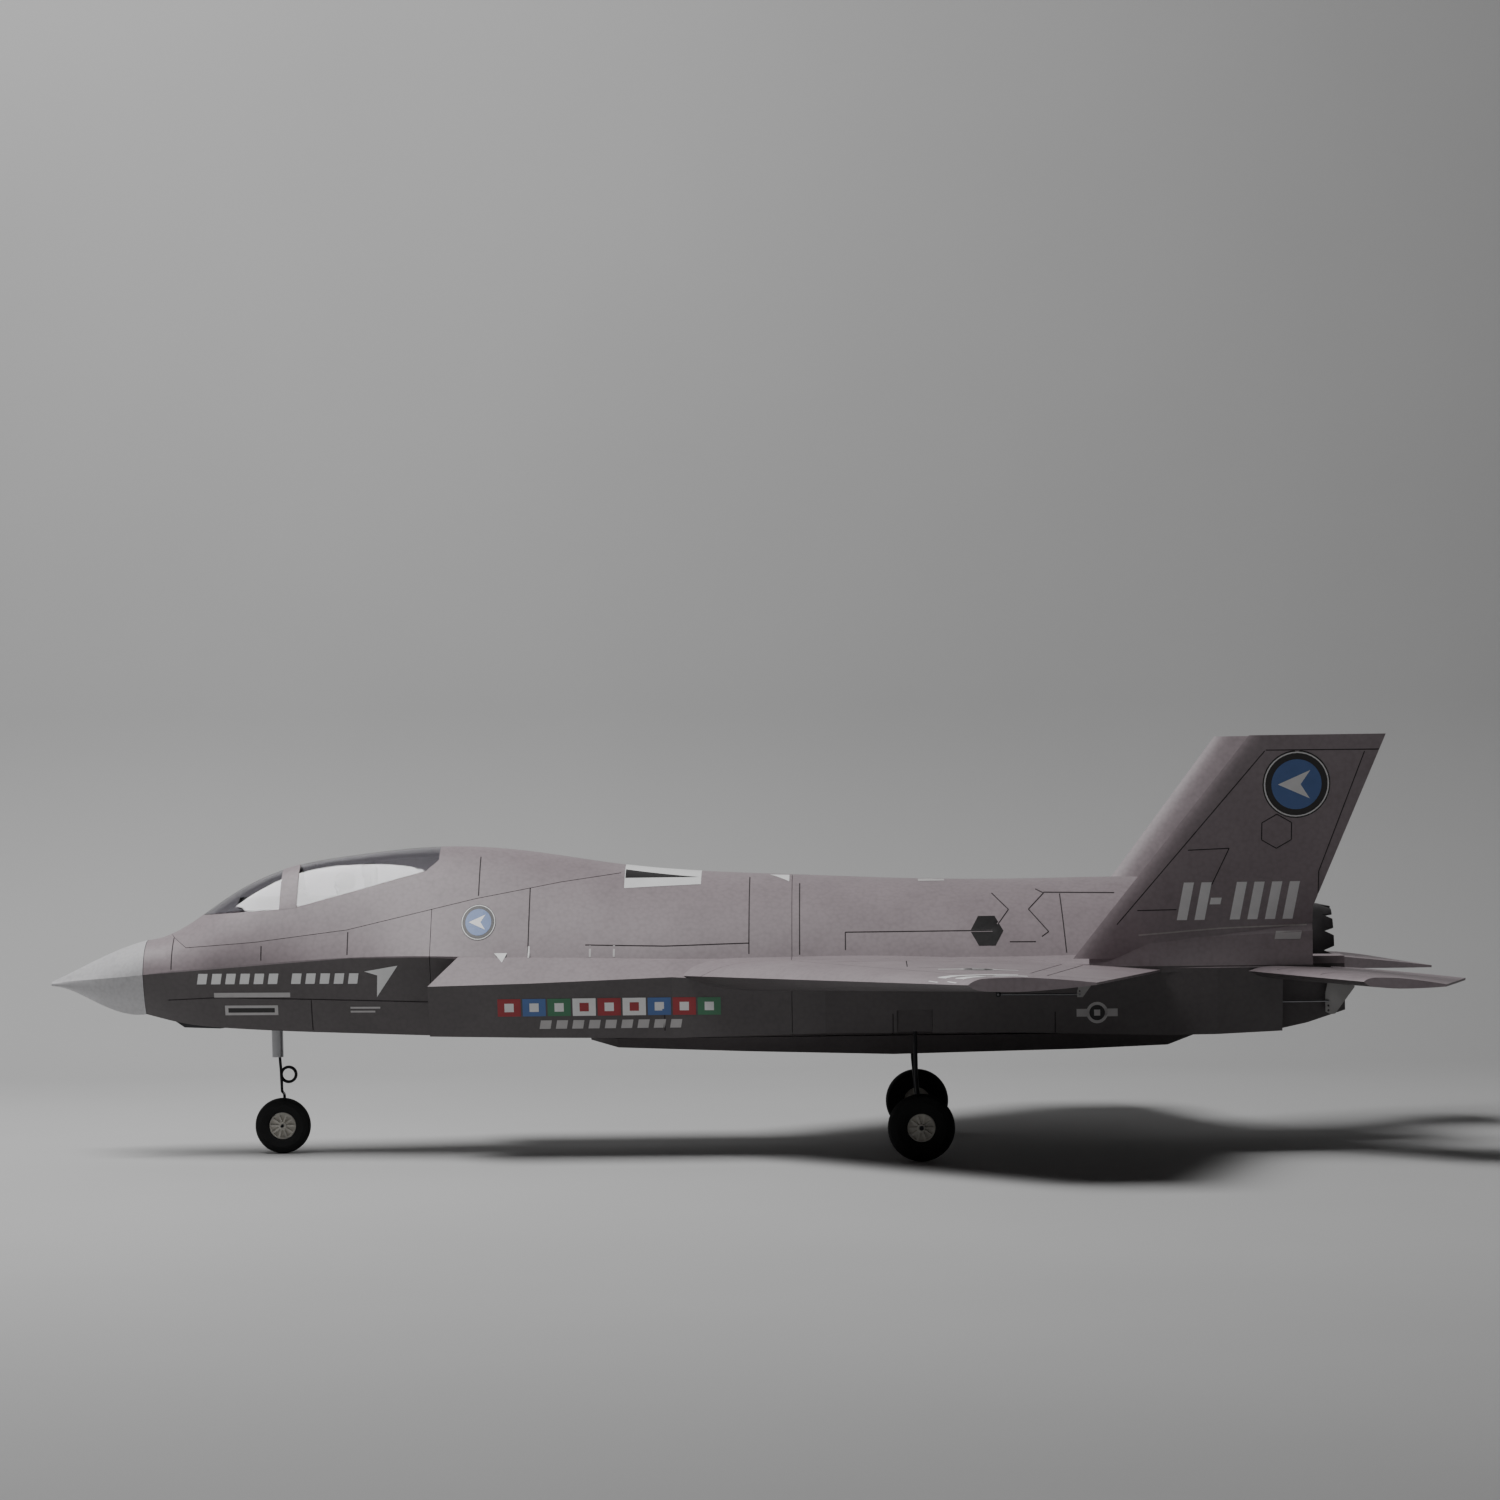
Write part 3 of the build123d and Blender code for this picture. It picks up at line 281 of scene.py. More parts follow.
@dataclass(frozen=True)
class ClearCanopy:
    """Vacuum-formed clear sheet with a light smoke tint; thin and smooth."""

    name: str = "smoked_clear_sheet"
    tint: str = "C9C7CC"

    def build(self) -> bpy.types.Material:
        """Build the material.

        Returns:
            The finished material.
        """
        material, tree, shader = start_material(self.name)
        shader.inputs["Base Color"].default_value = linear(self.tint)
        shader.inputs["IOR"].default_value = 1.49
        shader.inputs["Specular IOR Level"].default_value = 0.18
        shader.inputs["Transmission Weight"].default_value = 1.0
        place = add_node(tree, "ShaderNodeTexCoord", {}, {}).outputs["Object"]
        haze = add_node(tree, "ShaderNodeTexNoise", {"Scale": 60.0, "Detail": 5.0}, {"Vector": place})
        gloss = add_node(
            tree, "ShaderNodeMapRange", {"To Min": 0.015, "To Max": 0.06}, {"Value": haze.outputs["Fac"]}
        )
        feed(tree, shader, {"Roughness": gloss.outputs["Result"]})
        return material


class Palette:
    """Every finish of the aeroplane, built once."""

    def __init__(self) -> None:
        """Build all materials."""
        # Acrylic sprayed thinly on bead foam: satin and a little mottled, with the beads just showing.
        self.body = FoamPaint("mauve_grey_foam_paint", "968B8F", "8B8084").build()
        # A darker mix of the same paint, sprayed up to tape along the chine so its edge is crisp;
        # this dark tone is partly that two-tone paint and partly painted shade on the faces that look down.
        self.underside = FoamPaint("dark_grey_underside_foam_paint", "5E595A", "565152").build()
        # Matt, nearly black painted shade on the floors of the pressed panel lines.
        self.groove = FoamPaint("engraved_panel_line_paint", "3A3436", "332E30", 0.75).build()
        # Bead foam where the paint missed the seam: pale and dry.
        # A pale, dry-looking painted highlight along the fins' root crease.
        self.bare = FoamPaint("bare_bead_foam", "C9C4C2", "B5AFAD", 0.8).build()
        # Aluminium-filled paint on finer beads: lighter, and glossier than the body.
        self.nose = FoamPaint("silver_foam_paint", "C6C5C7", "BBBABC", 0.42, 2.6).build()
        # Foam rubber ground to shape on a lathe: matt, with open pores.
        self.tyre = Moulded("black_foam_rubber", "141415", 0.82, 1.1, 0.06, 0.2).build()
        # Nylon injected into an etched mould: even tone, soft sheen.
        self.hub = Moulded("off_white_nylon", "CFCBC2", 0.45, 0.9, 0.02, 0.06).build()
        self.horn = Moulded("grey_nylon", "A3A1A0", 0.5, 0.7, 0.015, 0.06).build()
        self.black_arm = Moulded("black_nylon", "232325", 0.5, 0.8, 0.02, 0.12).build()
        # Drawn spring wire, oil-blackened for the legs and bright for the rods: metal with fine draw marks.
        self.wire = Moulded("blackened_spring_steel", "2B2B2D", 0.38, 0.5, 0.01, 0.15, 0.9).build()
        self.rod = Moulded("bright_spring_steel", "8D8D90", 0.3, 0.5, 0.01, 0.1, 1.0).build()
        # Aluminium bar turned on a lathe: bright, with a very fine cut.
        self.sleeve = Moulded("turned_aluminium", "B4B4B6", 0.3, 0.4, 0.01, 0.06, 1.0).build()
        # Moulded ABS and servo cases: dark and fairly smooth, so they keep a broad highlight.
        self.black = Moulded("black_abs", "1B1B1D", 0.42, 0.8, 0.02, 0.15).build()
        self.servo = Moulded("blue_black_servo_plastic", "20242C", 0.3, 0.9, 0.01, 0.1).build()
        # Carbon tow wound in resin: near black, cloudy, under a clear skin of resin.
        self.carbon = Moulded("wound_carbon_tube", "18181A", 0.3, 1.2, 0.02, 0.3, 0.2, 0.5).build()
        # Gloss-lacquered sensor window: dark, almost a mirror.
        self.window = Moulded("sensor_window_gloss", "26262B", 0.12, 2.0, 0.005, 0.2, 0.0, 0.8).build()
        # Metal-flake paint on moulded petals: dark with a cold gleam on the edges.
        self.petal = Moulded("dark_metallic_paint", "3C3A3B", 0.4, 0.9, 0.02, 0.2, 0.5).build()
        # Hobby enamels brushed on the cockpit parts: matt cloth and paint, gloss on the helmet and visor.
        self.seat = Moulded("seat_grey_paint", "8C8B90", 0.55, 1.0, 0.03, 0.1).build()
        self.suit = Moulded("olive_suit_paint", "4A4B42", 0.7, 1.0, 0.04, 0.2).build()
        self.helmet = Moulded("helmet_dark_paint", "2A2A2E", 0.3, 1.0, 0.01, 0.1, 0.0, 0.4).build()
        self.visor = Moulded("tinted_visor", "0C0C10", 0.08, 1.0, 0.002, 0.1, 0.0, 1.0).build()
        # Printed self-adhesive vinyl: flat clean colour, smoother than the paint under it.
        self.white = Moulded("white_vinyl_film", "E6E6E6", 0.35, 1.2, 0.01, 0.04).build()
        self.pale = Moulded("pale_grey_vinyl_film", "B9B6B6", 0.4, 1.2, 0.01, 0.06).build()
        self.ink = Moulded("black_vinyl_film", "1D1B1C", 0.4, 1.2, 0.01, 0.1).build()
        self.blue = Moulded("blue_vinyl_film", "4C6EA8", 0.35, 1.2, 0.01, 0.06).build()
        self.red = Moulded("red_vinyl_film", "A02F36", 0.35, 1.2, 0.01, 0.06).build()
        self.green = Moulded("green_vinyl_film", "3F7A58", 0.35, 1.2, 0.01, 0.06).build()
        # Sheet pulled over a plug while hot, with a light smoke tint: clear, with crisp reflections.
        self.clear = ClearCanopy().build()


# ---------------------------------------------------------------- modelling helpers
def deselect_all() -> None:
    """Leave object mode with nothing selected."""
    if bpy.context.object is not None and bpy.context.object.mode != "OBJECT":
        bpy.ops.object.mode_set(mode="OBJECT")
    bpy.ops.object.select_all(action="DESELECT")


def activate(piece: bpy.types.Object) -> None:
    """Select one piece and make it active."""
    deselect_all()
    bpy.context.view_layer.objects.active = piece
    piece.select_set(True)


def pick_faces(piece: bpy.types.Object, test: Callable[[bmesh.types.BMFace], bool]) -> int:
    """Select, in edit mode, the faces that pass a test.

    Args:
        piece: the object in edit mode.
        test: says whether a face is wanted.

    Returns:
        The number of selected faces.
    """
    mesh = bmesh.from_edit_mesh(piece.data)
    bpy.context.tool_settings.mesh_select_mode = (False, False, True)
    count = 0
    for face in mesh.faces:
        wanted = test(face)
        face.select_set(wanted)
        count += wanted
    bmesh.update_edit_mesh(piece.data)
    return count


def copy_node(node: str, name: str) -> bpy.types.Object:
    """Copy a CAD node into a new piece with its triangles joined up.

    Args:
        node: the CAD node's name.
        name: the new piece's name.

    Returns:
        The new piece, in object mode.
    """
    deselect_all()
    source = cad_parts[node]
    piece = bpy.data.objects.new(name, source.data.copy())
    bpy.context.scene.collection.objects.link(piece)
    activate(piece)
    shading = piece.data.attributes.new(SHADING, "FLOAT_VECTOR", "CORNER")
    normals = [part for corner in piece.data.corner_normals for part in corner.vector]
    shading.data.foreach_set("vector", normals)
    bpy.ops.object.mode_set(mode="EDIT")
    bpy.ops.mesh.select_all(action="SELECT")
    bpy.ops.mesh.remove_doubles(threshold=WELD)
    bpy.ops.object.mode_set(mode="OBJECT")
    bpy.ops.mesh.customdata_custom_splitnormals_clear()
    return piece


def dress(piece: bpy.types.Object, *materials: bpy.types.Material) -> None:
    """Give a piece its materials in slot order."""
    piece.data.materials.clear()
    for material in materials:
        piece.data.materials.append(material)


def smooth(piece: bpy.types.Object, angle: float = 32.0) -> None:
    """Shade a piece smooth below an angle in degrees."""
    activate(piece)
    bpy.ops.object.shade_smooth_by_angle(angle=math.radians(angle))


def settle(piece: bpy.types.Object) -> None:
    """Apply a piece's place, turn and size to its mesh."""
    activate(piece)
    bpy.ops.object.transform_apply(location=True, rotation=True, scale=True)


def bevel_edges(piece: bpy.types.Object, width_mm: float, segments: int = 2, angle: float = 40.0) -> None:
    """Round the sharp edges of a piece with an applied bevel modifier.

    Args:
        piece: the piece.
        width_mm: bevel width.
        segments: steps across the bevel.
        angle: only edges sharper than this, in degrees.
    """
    activate(piece)
    bevel = piece.modifiers.new("edge", "BEVEL")
    bevel.width = width_mm * MM
    bevel.segments = segments
    bevel.limit_method = "ANGLE"
    bevel.angle_limit = math.radians(angle)
    bpy.ops.object.modifier_apply(modifier=bevel.name)


def lathe(
    name: str, profile: Sequence[tuple[float, float]], centre: Point, axis: Point, steps: int,
    finish: bpy.types.Material,
) -> bpy.types.Object:
    """Turn a closed profile round an axis.

    Args:
        name: the piece's name.
        profile: (distance along the axis, radius) corners in millimetres.
        centre: a point on the axis in millimetres.
        axis: the axis direction.
        steps: segments round the turn.
        finish: its finish.

    Returns:
        The new piece.
    """
    direction = Vector(axis).normalized()
    out = direction.orthogonal().normalized()
    origin = Vector(centre)
    deselect_all()
    bpy.ops.mesh.primitive_circle_add(vertices=len(profile), radius=0.01, fill_type="NOTHING")
    piece = bpy.context.object
    piece.name = name
    for vertex, (along, radius) in zip(piece.data.vertices, profile):
        vertex.co = (origin + direction * along + out * radius) * MM
    bpy.ops.object.mode_set(mode="EDIT")
    bpy.context.tool_settings.mesh_select_mode = (True, False, False)
    bpy.ops.mesh.select_all(action="SELECT")
    bpy.ops.mesh.spin(steps=steps, angle=math.tau, center=origin * MM, axis=direction, use_auto_merge=True)
    bpy.ops.mesh.select_all(action="SELECT")
    bpy.ops.mesh.remove_doubles(threshold=0.001 * MM)
    bpy.ops.mesh.normals_make_consistent(inside=False)
    bpy.ops.object.mode_set(mode="OBJECT")
    dress(piece, finish)
    return piece


# ---------------------------------------------------------------- engraved lines and film marks
class View(Enum):
    """The direction a flat drawing is laid on the aeroplane from, as the index of the axis it looks along."""

    SIDE = 1
    PLAN = 2

    def lift(self, corner: tuple[float, float], depth: float = 0.0) -> Vector:
        """Turn a drawing's corner into a place.

        Args:
            corner: (x, z) from the side or (x, y) in plan, in millimetres.
            depth: coordinate along the viewing axis, in millimetres.

        Returns:
            The place in metres.
        """
        across, up = corner
        return Vector((across, depth, up) if self is View.SIDE else (across, up, depth)) * MM


@dataclass(frozen=True)
class Groove:
    """One straight engraved panel line.

    Attributes:
        start: first end on the drawing, in millimetres.
        end: other end.
        reach: lowest and highest coordinate along the viewing axis; from the side, distance from the middle.
        view: the drawing's direction.
        width: width of the line.
        depth: depth of the line.
        pale: whether it carries a pale painted highlight instead of the groove's painted shade.
    """

    start: tuple[float, float]
    end: tuple[float, float]
    reach: tuple[float, float]
    view: View = View.SIDE
    width: float = 0.9
    depth: float = 0.35
    pale: bool = False

    def mirrored(self) -> "Groove":
        """The same plan line on the other side of the middle."""
        return replace(self, start=(self.start[0], -self.start[1]), end=(self.end[0], -self.end[1]))

    def holds(self, face: bmesh.types.BMFace, slack: float = 0.0) -> bool:
        """Whether a face belongs to the line's strip.

        Args:
            face: the face.
            slack: extra distance in metres; with slack any face that only touches the strip counts.

        Returns:
            True if it does.
        """
        axis = self.view.value
        side = face.verts[0].co[1] if self.view is View.SIDE else 1.0
        if face.normal[axis] * side <= 0:
            return False
        start, end = self.view.lift(self.start), self.view.lift(self.end)
        run = end - start
        length = run.length
        run.normalize()
        across = run.cross(Vector([float(index == axis) for index in range(3)]))
        half = self.width * MM / 2
        low, high = self.reach[0] * MM, self.reach[1] * MM
        if slack == 0.0:
            middle = face.calc_center_median()
            depth = abs(middle[1]) if self.view is View.SIDE else middle[2]
            along = (middle - start).dot(run)
            return low <= depth <= high and 0 <= along <= length and abs((middle - start).dot(across)) < half
        depths = [abs(v.co[1]) if self.view is View.SIDE else v.co[2] for v in face.verts]
        if max(depths) < low or min(depths) > high:
            return False
        alongs = [(v.co - start).dot(run) for v in face.verts]
        if max(alongs) < -slack or min(alongs) > length + slack:
            return False
        offsets = [(v.co - start).dot(across) for v in face.verts]
        return max(offsets) > -half - slack and min(offsets) < half + slack

    def planes(self) -> list[tuple[Vector, Vector]]:
        """Find the four planes round the strip.

        Returns:
            A point and a normal for each.
        """
        start, end = self.view.lift(self.start), self.view.lift(self.end)
        run = (end - start).normalized()
        across = run.cross(Vector([float(index == self.view.value) for index in range(3)]))
        half = across * (self.width * MM / 2)
        return [(start - half, across), (start + half, across), (start, run), (end, run)]


def side_lines(
    *runs: Sequence[tuple[float, float]], reach: tuple[float, float], **facts: object
) -> list[Groove]:
    """Chain points into lines on both sides of the body.

    Args:
        runs: chains of (x, z) points in millimetres.
        reach: nearest and furthest distance from the middle.
        facts: the lines' other facts.

    Returns:
        The lines.
    """
    return [
        Groove(here, there, reach, **facts)
        for points in runs
        for here, there in zip(points, points[1:])
    ]


def plan_lines(
    *runs: Sequence[tuple[float, float]], reach: tuple[float, float], side: Side
) -> list[Groove]:
    """Chain points into lines seen from above.

    Args:
        runs: chains of (x, y) points on the right, in millimetres.
        reach: lowest and highest z.
        side: which side of the middle they are cut on.

    Returns:
        The lines.
    """
    lines = side_lines(*runs, reach=reach, view=View.PLAN)
    return lines if side is Side.RIGHT else [line.mirrored() for line in lines]


def engrave(piece: bpy.types.Object, grooves: Iterable[Groove]) -> None:
    """Cut panel lines into a piece; their floors get the groove's painted shade or a pale painted highlight.

    Args:
        piece: the piece.
        grooves: the lines.
    """
    activate(piece)
    bpy.ops.object.mode_set(mode="EDIT")
    for groove in grooves:
        for place, direction in groove.planes():
            if pick_faces(piece, lambda face: groove.holds(face, TOUCH)):
                bpy.ops.mesh.bisect(plane_co=place, plane_no=direction, threshold=WELD)
        if pick_faces(piece, groove.holds) == 0:
            continue
        bpy.ops.mesh.extrude_region_shrink_fatten(TRANSFORM_OT_shrink_fatten={"value": -groove.depth * MM})
        # A groove's floor is painted shade; a pale line's floor is a painted highlight.
        piece.active_material_index = Coat.BARE if groove.pale else Coat.GROOVE
        bpy.ops.object.material_slot_assign()
    bpy.ops.object.mode_set(mode="OBJECT")


@dataclass(frozen=True)
class Film:
    """One flat shape of vinyl film laid on a surface.

    Attributes:
        outline: corners on the drawing, in millimetres.
        finish: the palette's name for its film.
        view: the drawing's direction.
        layer: 1 for film on the paint, 2 and up for film on film.
        cuts: how many times its edges are divided so that it follows the surface.
    """

    outline: tuple[tuple[float, float], ...]
    finish: str
    view: View = View.SIDE
    layer: int = 1
    cuts: int = 3

    def lay(self, name: str, target: bpy.types.Object, side: Side, palette: "Palette") -> bpy.types.Object:
        """Lay the film on a surface.

        Args:
            name: the piece's name.
            target: the piece it is laid on.
            side: which side of the aeroplane.
            palette: the finishes.

        Returns:
            The film.
        """
        corners = [(x, z) if self.view is View.SIDE else (x, z * side.value) for x, z in self.outline]
        deselect_all()
        bpy.ops.mesh.primitive_circle_add(vertices=len(corners), radius=0.01, fill_type="NGON")
        film = bpy.context.object
        film.name = name
        from_side = self.view is View.SIDE
        toward = side.value if from_side else 1
        for vertex, corner in zip(film.data.vertices, corners):
            vertex.co = self.view.lift(corner, FILM_START * toward)
        bpy.ops.object.mode_set(mode="EDIT")
        bpy.ops.mesh.select_all(action="SELECT")
        if len(corners) > 8:
            bpy.ops.mesh.poke()
        else:
            bpy.ops.mesh.quads_convert_to_tris()
        bpy.ops.mesh.subdivide(number_cuts=self.cuts)
        bpy.ops.object.mode_set(mode="OBJECT")
        wrap = film.modifiers.new("lay", "SHRINKWRAP")
        wrap.target = target
        wrap.wrap_method = "PROJECT"
        wrap.use_project_y = from_side
        wrap.use_project_z = not from_side
        wrap.use_negative_direction = True
        wrap.use_positive_direction = True
        bpy.ops.object.modifier_apply(modifier=wrap.name)
        bpy.ops.object.mode_set(mode="EDIT")
        mesh = bmesh.from_edit_mesh(film.data)
        for vertex in mesh.verts:
            missed = abs(abs(vertex.co[self.view.value]) - FILM_START * MM) < MM
            vertex.select_set(missed)
        bmesh.update_edit_mesh(film.data)
        bpy.ops.mesh.delete(type="VERT")
        bpy.ops.mesh.select_all(action="SELECT")
        mesh = bmesh.from_edit_mesh(film.data)
        mesh.normal_update()
        if sum(face.normal[self.view.value] * toward for face in mesh.faces) < 0:
            bpy.ops.mesh.flip_normals()
        bpy.ops.transform.shrink_fatten(value=(FILM_LIFT + LAYER_LIFT * self.layer) * MM)
        bpy.ops.object.mode_set(mode="OBJECT")
        dress(film, getattr(palette, self.finish))
        return film


def disc(centre: tuple[float, float], radius: float, steps: int = 32, turn: float = 0.0) -> tuple:
    """Corners of a round or regular outline.

    Args:
        centre: its middle on the drawing.
        radius: distance from the middle to a corner.
        steps: number of corners.
        turn: turn of the first corner in degrees.

    Returns:
        The corners.
    """
    start = math.radians(turn)
    return tuple(
        (
            centre[0] + radius * math.cos(start + math.tau * step / steps),
            centre[1] + radius * math.sin(start + math.tau * step / steps),
        )
        for step in range(steps)
    )


def bar(low_x: float, high_x: float, low_z: float, high_z: float, slant: float = 0.0) -> tuple:
    """Corners of a bar whose top is pushed aft by slant."""
    return ((low_x, low_z), (high_x, low_z), (high_x + slant, high_z), (low_x + slant, high_z))


def join(name: str, pieces: Sequence[bpy.types.Object]) -> bpy.types.Object:
    """Join pieces into one.

    Args:
        name: the joined piece's name.
        pieces: what is joined.

    Returns:
        The joined piece.
    """
    deselect_all()
    for piece in pieces:
        piece.select_set(True)
    bpy.context.view_layer.objects.active = pieces[0]
    bpy.ops.object.join()
    joined = bpy.context.object
    joined.name = name
    return joined


def block(
    name: str, low: Point, high: Point, edge: float, segments: int = 2, *, finish: bpy.types.Material
) -> bpy.types.Object:
    """Make a box with rounded edges between two corners in millimetres.

    Args:
        name: the piece's name.
        low: lowest corner.
        high: highest corner.
        edge: rounding of its edges.
        segments: steps across the rounding.
        finish: its finish.

    Returns:
        The piece.
    """
    deselect_all()
    middle = (Vector(low) + Vector(high)) / 2 * MM
    size = (Vector(high) - Vector(low)) * MM
    bpy.ops.mesh.primitive_cube_add(size=1.0, location=middle)
    piece = bpy.context.object
    piece.name = name
    piece.scale = size
    settle(piece)
    bevel_edges(piece, edge, segments)
    dress(piece, finish)
    return piece


def finish_piece(
    piece: bpy.types.Object, body: str, nodes: Sequence[str] = (), angle: float = 32.0
) -> bpy.types.Object:
    """Shade a piece, put it on its body and hide the CAD nodes it replaces.

    Args:
        piece: the piece.
        body: the CAD body it rides on.
        nodes: CAD nodes that it replaces.
        angle: edges sharper than this stay sharp, in degrees.

    Returns:
        The piece.
    """
    smooth(piece, angle)
    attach(piece, body)
    if nodes:
        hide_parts(*nodes)
    LOG.info("%s on %s, %d faces", piece.name, body, len(piece.data.polygons))
    return piece


def restore_shading(piece: bpy.types.Object) -> None:
    """Give an engraved piece back the smooth shading it was copied with.

    Args:
        piece: a piece whose corners carry the shading attribute.
    """
    mesh = piece.data
    carried = mesh.attributes[SHADING]
    values = [Vector(corner.vector) for corner in carried.data]
    normals = [Vector((0.0, 0.0, 0.0))] * len(values)
    for face in mesh.polygons:
        if face.material_index not in (Coat.PAINT, Coat.UNDERSIDE):
            continue
        for corner in face.loop_indices:
            if values[corner].dot(face.normal) > WALL_COSINE:
                normals[corner] = values[corner].normalized()
    mesh.attributes.remove(carried)
    mesh.normals_split_custom_set(normals)


def chine_height(across: float) -> float:
    """Height of the two-tone edge.

    Args:
        across: distance along the body in millimetres.

    Returns:
        The height in millimetres.
    """
    for (front_x, front_z), (rear_x, rear_z) in zip(CHINE, CHINE[1:]):
        if across <= rear_x:
            return front_z + (rear_z - front_z) * (across - front_x) / (rear_x - front_x)
    return CHINE[-1][1]


def paint_dark_underside_and_shade(piece: bpy.types.Object, flying: bool) -> None:
    """Paint the underside in its darker tone, partly two-tone paint and partly painted shade, up to a clean
    edge along the chine.

    Args:
        piece: the moulding.
        flying: a wing or tail surface, of which only what looks down gets the dark tone and its painted
            shade.
    """
    activate(piece)
    bpy.ops.object.mode_set(mode="EDIT")
    for (front_x, front_z), (rear_x, rear_z) in zip(CHINE, CHINE[1:]):
        along = (front_x * MM, rear_x * MM)
        if not flying and pick_faces(piece, lambda face: along[0] <= face.calc_center_median().x <= along[1]):
            rise = Vector((front_z - rear_z, 0.0, rear_x - front_x)).normalized()
            bpy.ops.mesh.bisect(plane_co=(front_x * MM, 0, front_z * MM), plane_no=rise)

    def is_low(face: bmesh.types.BMFace) -> bool:
        """Whether a face belongs to the underside.

        Args:
            face: the face.

        Returns:
            True if it is painted dark.
        """
        middle = face.calc_center_median()
        if face.material_index != Coat.PAINT:
            return False
        if flying:
            return face.normal.z < FLYING_LOOK
        return face.normal.z < BODY_LOOK and middle.z < chine_height(middle.x / MM) * MM

    if pick_faces(piece, is_low):
        piece.active_material_index = Coat.UNDERSIDE
        bpy.ops.object.material_slot_assign()
    bpy.ops.object.mode_set(mode="OBJECT")


def moulding(node: str, body: str, palette: Palette, grooves: Iterable[Groove] = ()) -> bpy.types.Object:
    """Copy a foam moulding from the frame, engrave it and paint it; the nose cone is silver all over.

    Args:
        node: the CAD node.
        body: the body it rides on.
        palette: the finishes.
        grooves: its panel lines.

    Returns:
        The finished piece.
    """
    silver = node == "nose_cone"
    piece = copy_node(node, f"{node}_skin")
    dress(piece, palette.nose if silver else palette.body, palette.groove, palette.bare, palette.underside)
    engrave(piece, grooves)
    if not silver:
        # Faces that look down below the chine get the dark tone: partly two-tone paint, partly painted shade.
        paint_dark_underside_and_shade(piece, any(kind in node for kind in ("wing", "aileron", "stabilator")))
    finish_piece(piece, body, (node,))
    restore_shading(piece)
    return piece


# ---------------------------------------------------------------- sub-assemblies
@dataclass
class Fuselage:
    """Nose cone, the three body mouldings and the belly hatch, with their panel lines."""

    palette: Palette
    outer: tuple[float, float] = (18.0, 130.0)
    front_lines: tuple = (
        ((-438.0, 143.5), (-438.0, 167.0)),
        ((-367.8, 150.0), (-367.8, 161.0)),
        ((-301.0, 154.0), (-301.0, 171.0)),
        ((-441.0, 120.0), (-400.0, 122.0), (-240.0, 118.0)),
        ((-330.0, 96.0), (-330.0, 119.5)),
    )
    centre_lines: tuple = (
        ((-163.0, 152.5), (-163.0, 203.0)),
        ((3.0, 152.0), (3.0, 209.0)),
        ((-120.0, 160.0), (-60.0, 158.5), (3.0, 160.0)),
        ((-60.0, 96.0), (-60.0, 112.0)),
    )
    rear_lines: tuple = (
        ((41.0, 151.0), (41.0, 203.0)),
        ((75.3, 154.0), (75.3, 167.0)),
        ((186.3, 194.0), (198.4, 182.0), (190.1, 171.5)),
        ((219.6, 196.5), (225.6, 193.5), (213.5, 182.0), (227.9, 165.5), (222.6, 162.0)),
        ((198.4, 158.5), (218.0, 158.3)),
        ((237.7, 193.0), (240.7, 150.0)),
        ((225.6, 194.0), (279.3, 193.0)),
        ((75.3, 167.0), (186.0, 167.0)),
        ((110.0, 84.0), (110.0, 108.0)),
        ((230.0, 84.0), (230.0, 108.0)),
    )

    def build(self) -> dict[str, bpy.types.Object]:
        """Build the body.

        Returns:
            The skins by CAD node, for the marks to be laid on.
        """
        lines = {
            "nose_cone": (),
            "front_fuselage": self.front_lines,
            "centre_fuselage": self.centre_lines,
            "rear_fuselage": self.rear_lines,
            "belly_hatch": (),
        }
        return {
            node: moulding(node, "airframe", self.palette, side_lines(*runs, reach=self.outer))
            for node, runs in lines.items()
        }


